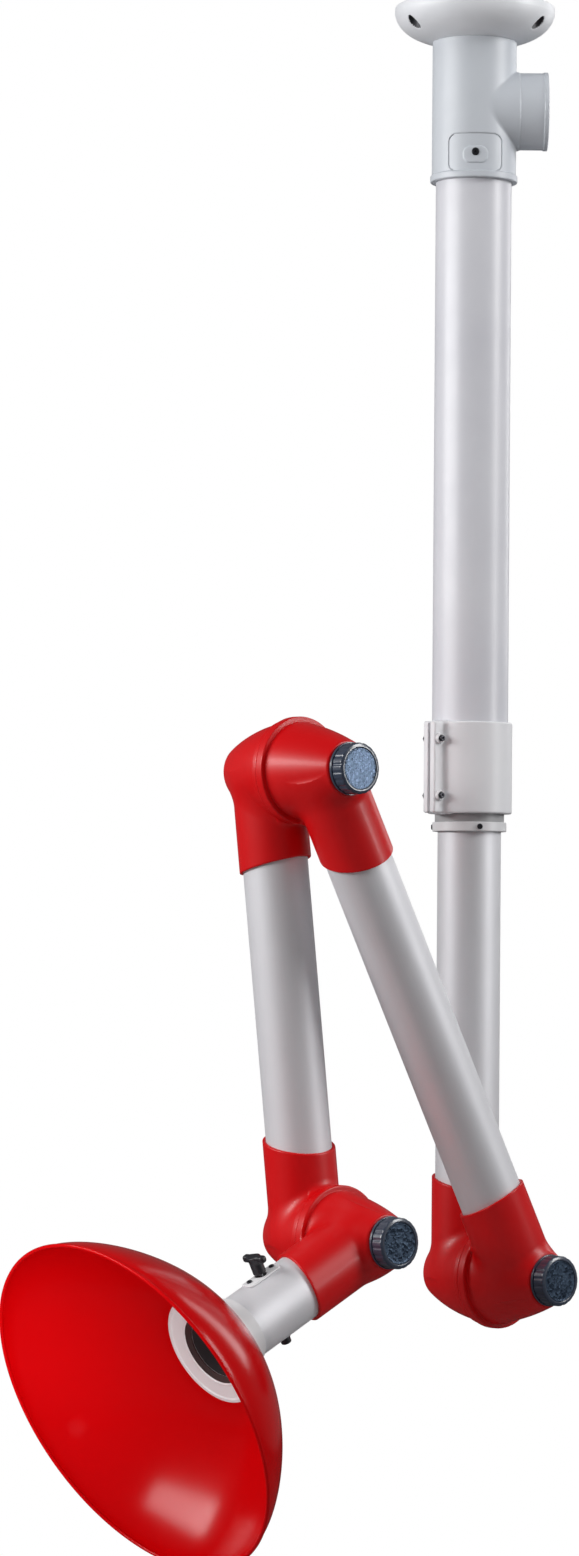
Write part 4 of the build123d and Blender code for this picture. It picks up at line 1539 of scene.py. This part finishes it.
    def build(
        self, name: str, pivot: Vector, back_heading: Vector, front_heading: Vector,
        bodies: tuple[str, str],
    ) -> None:
        """Build the joint at its pivot.

        Args:
            name: shoulder, elbow or wrist.
            pivot: its pivot in the column's plane.
            back_heading: where the back socket points.
            front_heading: where the front socket points.
            bodies: the bodies of the back half and the front half.
        """
        middle = pivot + self.layout.to_front / 2
        back = framed(middle, back_heading, Vector((0, 1, 0)))
        front = framed(middle, front_heading, Vector((0, -1, 0)))
        back_body, front_body = bodies
        grip, facing = self.knob()
        knob = f"{name}_knob"
        rows = {
            "back_shell": (self.housing(Half.BACK), back, "red_moulded", back_body, "back_housing"),
            "front_shell": (self.housing(Half.FRONT), front, "red_moulded", front_body, "front_housing"),
            "cup_washer": (self.washer(), front, "knob_side", front_body, "knob_washer"),
            "knob_grip": (grip, front, "knob_side", knob, "tension_knob"),
            "knob_facing": (facing, front, "knob_face", knob, ""),
        }
        for label, (shape, place, finish, body, node) in rows.items():
            nodes = [f"{name}_{node}"] if node else []
            self.shop.piece(f"{name}_{label}", shape.placed(place), finish, body, nodes)


# Arms and hood


@dataclass
class Arms:
    """The ducts between the joints."""

    shop: Workshop
    layout: Layout

    def build(self) -> None:
        """Build both arm ducts."""
        layout = self.layout
        front = layout.to_front
        runs = {
            "first_arm": (layout.shoulder + front, layout.elbow + front, layout.first_lean_deg),
            "second_arm": (layout.elbow, layout.wrist, layout.second_lean_deg),
        }
        for name, (start, end, lean) in runs.items():
            along = (end - start).normalized() * layout.tube_stop
            self.shop.duct(
                f"{name}_duct", start + along, end - along, layout.duct_radius, layout.duct_wall, "duct",
                name, [f"{name}_tube"], lean,
            )


@dataclass
class HoodEnd:
    """Hood duct, nozzle, hood and damper, beyond the wrist."""

    shop: Workshop
    layout: Layout
    rim_radius: float = 199.5
    bell_depth: float = 124.5
    side_depth: float = 30.0
    back_width: float = 52.0
    reach: float = 375.0
    sheet: float = 1.6
    bead: float = 2.2
    roll_deg: float = 313.0
    roll_steps: int = 18
    neck: float = 65.5
    nozzle_flange: float = 11.0
    nozzle_flare: float = 8.0
    sleeve_wall: float = 3.0
    sleeve_length: float = 38.0
    throat_shade_width: float = 6.4
    damper_reach: float = 150.0
    play: float = 0.3
    bush_rim: float = 1.8
    handle_height: float = 22.0
    hub_radius: float = 7.5
    wing_size: tuple[float, float, float] = (9.0, 34.0, 8.5)
    spindle_bore: float = 3.05
    spindle_top: float = 22.3
    saddle_plate: float = 2.6
    saddle_lift: float = 0.05
    saddle_half: tuple[float, float] = (18.6, 3.1)
    saddle_corner: float = 6.4
    saddle_hole: float = 7.1
    saddle_screw_offset: float = 18.0
    cap_radius: float = 6.0
    cap_height: float = 7.0
    cap_lift: float = 2.3

    @property
    def place(self) -> Matrix:
        """Frame with Z along the hood's duct and X up across it."""
        layout = self.layout
        return framed(layout.wrist + layout.to_front, layout.damper_heading, layout.hood_heading)

    @property
    def nozzle_front(self) -> float:
        """Where the nozzle's face stands along the duct."""
        return self.reach - self.bell_depth

    def build(self) -> None:
        """Build every piece beyond the wrist."""
        layout = self.layout
        start = layout.wrist + layout.to_front
        heading = layout.hood_heading
        end = self.nozzle_front - self.nozzle_flare
        self.shop.duct(
            "hood_duct", start + heading * layout.tube_stop, start + heading * end, layout.duct_radius,
            layout.duct_wall, "duct", "hood_arm", ["hood_tube"], 90.0 - layout.hood_dip_deg,
        )
        self.bowl()
        self.nozzle()
        self.damper()
        self.fasteners()

    def bell(self, wall: float, steps: int = 80) -> Profile:
        """Curve of the hood's sheet from its rim to its neck.

        Args:
            wall: distance outside the inner surface.
            steps: number of parts.

        Returns:
            Radii and heights.
        """
        rim, low, shift = self.rim_radius + wall, self.nozzle_front - wall, 0.55 * wall
        side = (rim, self.reach - self.side_depth - shift)
        corners = [(rim, self.reach), side, (self.neck + self.back_width + shift, low), (self.neck, low)]
        return bezier(corners, steps)

    def bowl(self) -> None:
        """Spun hood with its rolled rim and neck."""
        back = self.nozzle_front - self.nozzle_flange
        centre = self.rim_radius + self.sheet
        bead, neck, rim = self.bead, self.neck, self.reach - self.bead
        inner = [point for point in self.bell(0) if point[1] < rim and point[0] > neck + 4]
        outer = [point for point in self.bell(self.sheet) if point[1] < rim - 1 and point[0] > neck + 6]
        steps = range(self.roll_steps + 1)
        turns = [math.radians(-90 + self.roll_deg * step / self.roll_steps) for step in steps]
        roll = [(centre + bead * math.cos(turn), self.reach + bead * math.sin(turn)) for turn in turns]
        collar = [
            (neck, self.nozzle_front, 0.8), (neck, back, 0.5), (neck + self.sheet, back, 0.5),
            (neck + self.sheet, self.nozzle_front - self.sheet, 2.2),
        ]
        surface = turned(rounded([*collar, *outer[::-1], *roll, *inner], 6), 256).placed(self.place)
        self.shop.piece("hood_bowl", surface, "red_coat", "hood_arm", ["hood"])

    def nozzle(self) -> None:
        """Pale flared adapter in the hood's neck, with painted shade in its throat."""
        layout, front, flare = self.layout, self.nozzle_front, self.nozzle_flare
        outer = self.neck - layout.fit_gap
        bore = layout.duct_radius - layout.duct_wall
        socket = layout.duct_radius + layout.fit_gap
        sleeve = socket + self.sleeve_wall
        tube_end, back = front - flare, front - self.nozzle_flange
        stop, foot = tube_end + self.play, tube_end - self.sleeve_length
        outline = [
            (bore, tube_end + 1.6, 0.4), (bore, stop), (socket, stop), (socket, foot, 0.3),
            (sleeve, foot, 1.0), (sleeve, back - flare, 4.0), (sleeve + flare, back, 4.0),
            (outer, back, 0.4), (outer, front, 1.2), (outer - 4.0, front, 1.0),
            (outer - 5.5, front - 1.4, 1.2), (bore + 9.6, front - 2.2, 1.2),
            (bore + 7.8, front - 1.6, 0.8), (bore + 6.2, front - 3.4, 0.8),
        ]
        surface = turned(rounded(outline, 6), 160)
        made = self.shop.piece(
            "nozzle_adapter", surface.placed(self.place), "pale_moulded", "hood_arm", ["hood_nozzle"]
        )
        # Faces in the narrow mouth beyond the duct's end get a near-black finish: painted shade in the
        # throat.
        middles = surface.middles
        narrow = np.hypot(middles[:, 0], middles[:, 1]) < bore + self.throat_shade_width
        throat = narrow & (middles[:, 2] > tube_end + 0.4)
        self.shop.second_finish(made, "nozzle_throat_shade", np.flatnonzero(throat))

    def damper(self) -> None:
        """Damper handle, saddle and cap on the hood duct."""
        duct = self.layout.duct_radius
        along = Matrix.Translation((0, 0, self.damper_reach))
        across = self.place @ along @ Matrix.Rotation(math.pi / 2, 4, "Y")
        low = duct + self.saddle_plate + self.bush_rim + self.play
        high = low + self.handle_height

        def handle(points: np.ndarray) -> np.ndarray:
            """Distance to the handle."""
            hub = bar(points, self.hub_radius, low, high - 1.0, 1.2)
            wing = block(points, (0, 0, high - self.wing_size[2] / 2), self.wing_size, 3.4)
            made = soft_union(hub, wing, 3.0)
            return soft_cut(made, bar(points, self.spindle_bore, 0, duct + self.spindle_top, 0), 0.3)

        def saddle(points: np.ndarray) -> np.ndarray:
            """Distance to the saddle's plate."""
            height = np.hypot(points[:, 1], points[:, 2]) - duct - self.saddle_lift
            shell = np.maximum(height - self.saddle_plate, -height)
            beyond = np.maximum(np.abs(points[:, :2]) - np.array(self.saddle_half), 0)
            window = np.hypot(beyond[:, 0], beyond[:, 1]) - self.saddle_corner
            made = soft_cut(window, -np.maximum(shell, -points[:, 2]), 1.2)
            return soft_cut(made, bar(points, self.saddle_hole, 0, THROUGH, 0), 0.4)

        grip = skin(handle, (-8, -18, low), (8, 18, high), 0.7).placed(across)
        self.shop.piece("damper_wing", grip, "dark_moulded", "damper", ["damper_handle"])
        plate = skin(saddle, (-26, -11, duct - 4), (26, 11, duct + 4), 0.7).placed(across)
        self.shop.piece("damper_saddle_plate", plate, "pale_moulded", "hood_arm", ["damper_saddle"])
        foot, bore, outer = duct + self.cap_lift, self.spindle_bore, self.cap_radius
        top = foot + self.cap_height
        outline = [(0, foot), (bore, foot, 0.2), (outer, foot, 0.4), (outer, top, 1.8), (0, top)]
        cap = turned(rounded(outline, 4, closed=False), 40, closed=False)
        flip = across @ Matrix.Rotation(math.pi, 4, "X")
        self.shop.piece("damper_end_cap", cap.placed(flip), "dark_moulded", "damper", ["spindle_cap"])

    def fasteners(self) -> None:
        """Rivets of the neck and screws of the saddle."""
        seat = self.neck + self.sheet
        height = self.nozzle_front - self.nozzle_flange / 2
        outline = [
            (0, -5.5), (1.6, -5.5, 0.3), (1.6, 0), (3.4, 0.1), (3.4, 0.7, 0.5), (2.0, 1.4, 1.0), (0, 1.5),
        ]
        rivet = pointing_out(turned(rounded(outline, 4, closed=False), 24, closed=False), seat, height)
        self.shop.copies(
            "neck_rivets", rivet, "zinc", "hood_arm", ["hood_rivets"], 3, step_deg=120.0, place=self.place
        )
        offset = self.saddle_screw_offset
        seat = self.layout.duct_radius + self.saddle_plate + self.layout.fit_gap
        one = pointing_out(screw(1.8, 5.6, 3.2, 1.8), seat, self.damper_reach - offset)
        self.shop.copies(
            "saddle_screw_pair", one, "black_steel", "hood_arm", ["saddle_screws"], 2,
            offset=(0, 0, 2 * offset), place=self.place,
        )


# Nodes that stay


def dress_nodes(palette: Palette) -> None:
    """Give every CAD node that stays its finish.

    Args:
        palette: the finishes.
    """
    rules = {
        "slide_guide_ring": "pale_moulded",
        "retaining_rings": "zinc",
        "clamp_nuts": "zinc",
        "damper_blade": "zinc",
        "damper_spindle": "zinc",
        "spindle_bushes": "dark_moulded",
        "friction_ring": "liner",
        "spider": "zinc",
        "pivot_bolt": "zinc",
        "disc_springs": "zinc",
        "lock_nut": "zinc",
    }
    for name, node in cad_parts.items():
        finish = next((rules[key] for key in rules if name.endswith(key)), None)
        if finish is None:
            continue
        node.data.materials.clear()
        node.data.materials.append(palette.get(finish))


# Studio


@dataclass
class Studio:
    """Camera, lights and floor."""

    eye: tuple[float, float, float] = (-3.8955, -4.1577, -1.1169)
    yaw_deg: float = -40.99
    pitch_deg: float = 1.99
    roll_deg: float = 0.47
    focal_px: float = 4812.7
    world_light: float = 0.16
    world_seen: float = 0.84
    world_mirrored: float = -0.06
    floor_height: float = -2.25
    floor_half: float = 6.0
    floor_shade: float = 0.85
    floor_mirrored: float = 0.78
    floor_bounced: float = 0.45

    def camera(self) -> None:
        """Set the camera where the photograph was taken from."""
        yaw, pitch, roll = (math.radians(angle) for angle in (self.yaw_deg, self.pitch_deg, self.roll_deg))
        ahead = Vector((-math.sin(yaw) * math.cos(pitch), math.cos(yaw) * math.cos(pitch), math.sin(pitch)))
        level = Vector((math.cos(yaw), math.sin(yaw), 0))
        above = level.cross(ahead)
        right = level * math.cos(roll) + above * math.sin(roll)
        upward = above * math.cos(roll) - level * math.sin(roll)
        lens = bpy.data.cameras.new("photo_camera")
        lens.sensor_fit = "VERTICAL"
        lens.sensor_height = 24.0
        lens.lens = self.focal_px / IMAGE_HEIGHT * lens.sensor_height
        lens.clip_end = 60.0
        body = bpy.data.objects.new("photo_camera", lens)
        place = Matrix((right, upward, -ahead)).transposed().to_4x4()
        place.translation = self.eye
        body.matrix_world = place
        bpy.context.scene.collection.objects.link(body)
        bpy.context.scene.camera = body

    @staticmethod
    def lamp(
        name: str, place: Sequence[float], target: Sequence[float], size: tuple,
        power: float, spread: float = 180.0, rays: tuple[bool, bool] = (True, True),
    ) -> None:
        """Add a soft rectangular lamp.

        Args:
            name: the lamp's name.
            place: where it stands.
            target: what it points at.
            size: its width and height.
            power: watts.
            spread: the angle its light opens to, in degrees.
            rays: whether it lights matt surfaces, and whether glossy ones show it.
        """
        light = bpy.data.lights.new(name, "AREA")
        light.shape = "RECTANGLE"
        light.size, light.size_y = size
        light.energy = power
        light.spread = math.radians(spread)
        body = bpy.data.objects.new(name, light)
        body.visible_diffuse, body.visible_glossy = rays
        body.location = place
        aim = Vector(target) - Vector(place)
        body.rotation_euler = aim.to_track_quat("-Z", "Y").to_euler()
        bpy.context.scene.collection.objects.link(body)

    def lights(self) -> None:
        """Add six soft lamps and a pale world."""
        middle = (-0.25, -0.05, -1.0)
        self.lamp("left_panel", (-3.33, 1.25, 0.0), (-0.4, 0.0, -1.2), (3.0, 0.75), 108.0)
        self.lamp("right_panel", (1.85, -2.65, 0.7), middle, (1.2, 1.6), 76.0)
        self.lamp("top_softbox", (-1.6, -1.5, 2.0), middle, (1.5, 1.5), 24.0, rays=(True, False))
        self.lamp(
            "hood_softbox", (-2.3, -1.95, -1.9), (-0.70, 0.04, -1.54), (0.35, 0.35), 0.62, 12.0,
            (True, False),
        )
        self.lamp(
            "knob_softbox", (1.83, -2.76, -0.79), (-0.32, -0.14, -0.92), (0.6, 0.6), 20.0,
            rays=(False, True),
        )
        self.lamp("back_strip", (2.3, 0.25, 0.1), (-0.5, -0.2, -1.4), (0.5, 1.8), 10.0)
        world = bpy.data.worlds.new("studio_world")
        world.use_nodes = True
        bpy.context.scene.world = world
        graph = Graph(world.node_tree)
        path = graph.node("ShaderNodeLightPath")
        seen = graph.math("MULTIPLY", path.outputs["Is Camera Ray"], self.world_seen)
        mirrored = graph.math("MULTIPLY", path.outputs["Is Glossy Ray"], self.world_mirrored)
        strength = graph.math("ADD", graph.math("ADD", seen, mirrored), self.world_light)
        sky = graph.node("ShaderNodeBackground", {"Color": (1.0, 1.0, 1.0, 1.0), "Strength": strength})
        graph.node("ShaderNodeOutputWorld", {"Surface": sky.outputs[0]})

    def floor(self) -> None:
        """Add the pale floor."""
        half, height = self.floor_half, self.floor_height
        corners = np.array([(x * half, y * half, height) for x, y in ((-1, -1), (1, -1), (1, 1), (-1, 1))])
        mesh = Workshop.mesh("floor", Surface(corners / METRE, [(0, 1, 2, 3)]))
        ground = bpy.data.objects.new("floor", mesh)
        bpy.context.scene.collection.objects.link(ground)
        material = bpy.data.materials.new("floor_pale")
        material.use_nodes = True
        graph = Graph(material.node_tree)
        path = graph.node("ShaderNodeLightPath")
        mirrored = graph.math("MULTIPLY", path.outputs["Is Glossy Ray"], self.floor_mirrored)
        bounced = graph.math("MULTIPLY", path.outputs["Is Diffuse Ray"], self.floor_bounced)
        shade = graph.math("SUBTRACT", graph.math("SUBTRACT", self.floor_shade, mirrored), bounced)
        matt = graph.node("ShaderNodeBsdfDiffuse", {"Color": shade})
        white = graph.node("ShaderNodeEmission", {"Color": (1.0, 1.0, 1.0, 1.0), "Strength": 1.0})
        mixed = graph.node(
            "ShaderNodeMixShader", {0: path.outputs["Is Camera Ray"], 1: matt.outputs[0], 2: white.outputs[0]}
        )
        graph.node("ShaderNodeOutputMaterial", {"Surface": mixed.outputs[0]})
        mesh.materials.append(material)

    def build(self) -> None:
        """Build the whole studio."""
        self.camera()
        self.lights()
        self.floor()
        bpy.context.scene.view_settings.view_transform = "Standard"


def main() -> None:
    """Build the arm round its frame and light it."""
    logging.basicConfig(level=logging.INFO, format="%(message)s")
    layout = Layout()
    shop = Workshop()
    Studio().build()
    Column(shop, layout).build()
    joint = TurningJoint(shop, layout)
    first, second = layout.first_heading, layout.second_heading
    joint.build("shoulder", layout.shoulder, Vector((0, 0, 1)), first, ("drop_arm", "first_arm"))
    joint.build("elbow", layout.elbow, second, -first, ("second_arm", "first_arm"))
    joint.build("wrist", layout.wrist, -second, layout.hood_heading, ("second_arm", "hood_arm"))
    Arms(shop, layout).build()
    HoodEnd(shop, layout).build()
    dress_nodes(shop.palette)


if __name__ == "__main__":
    main()
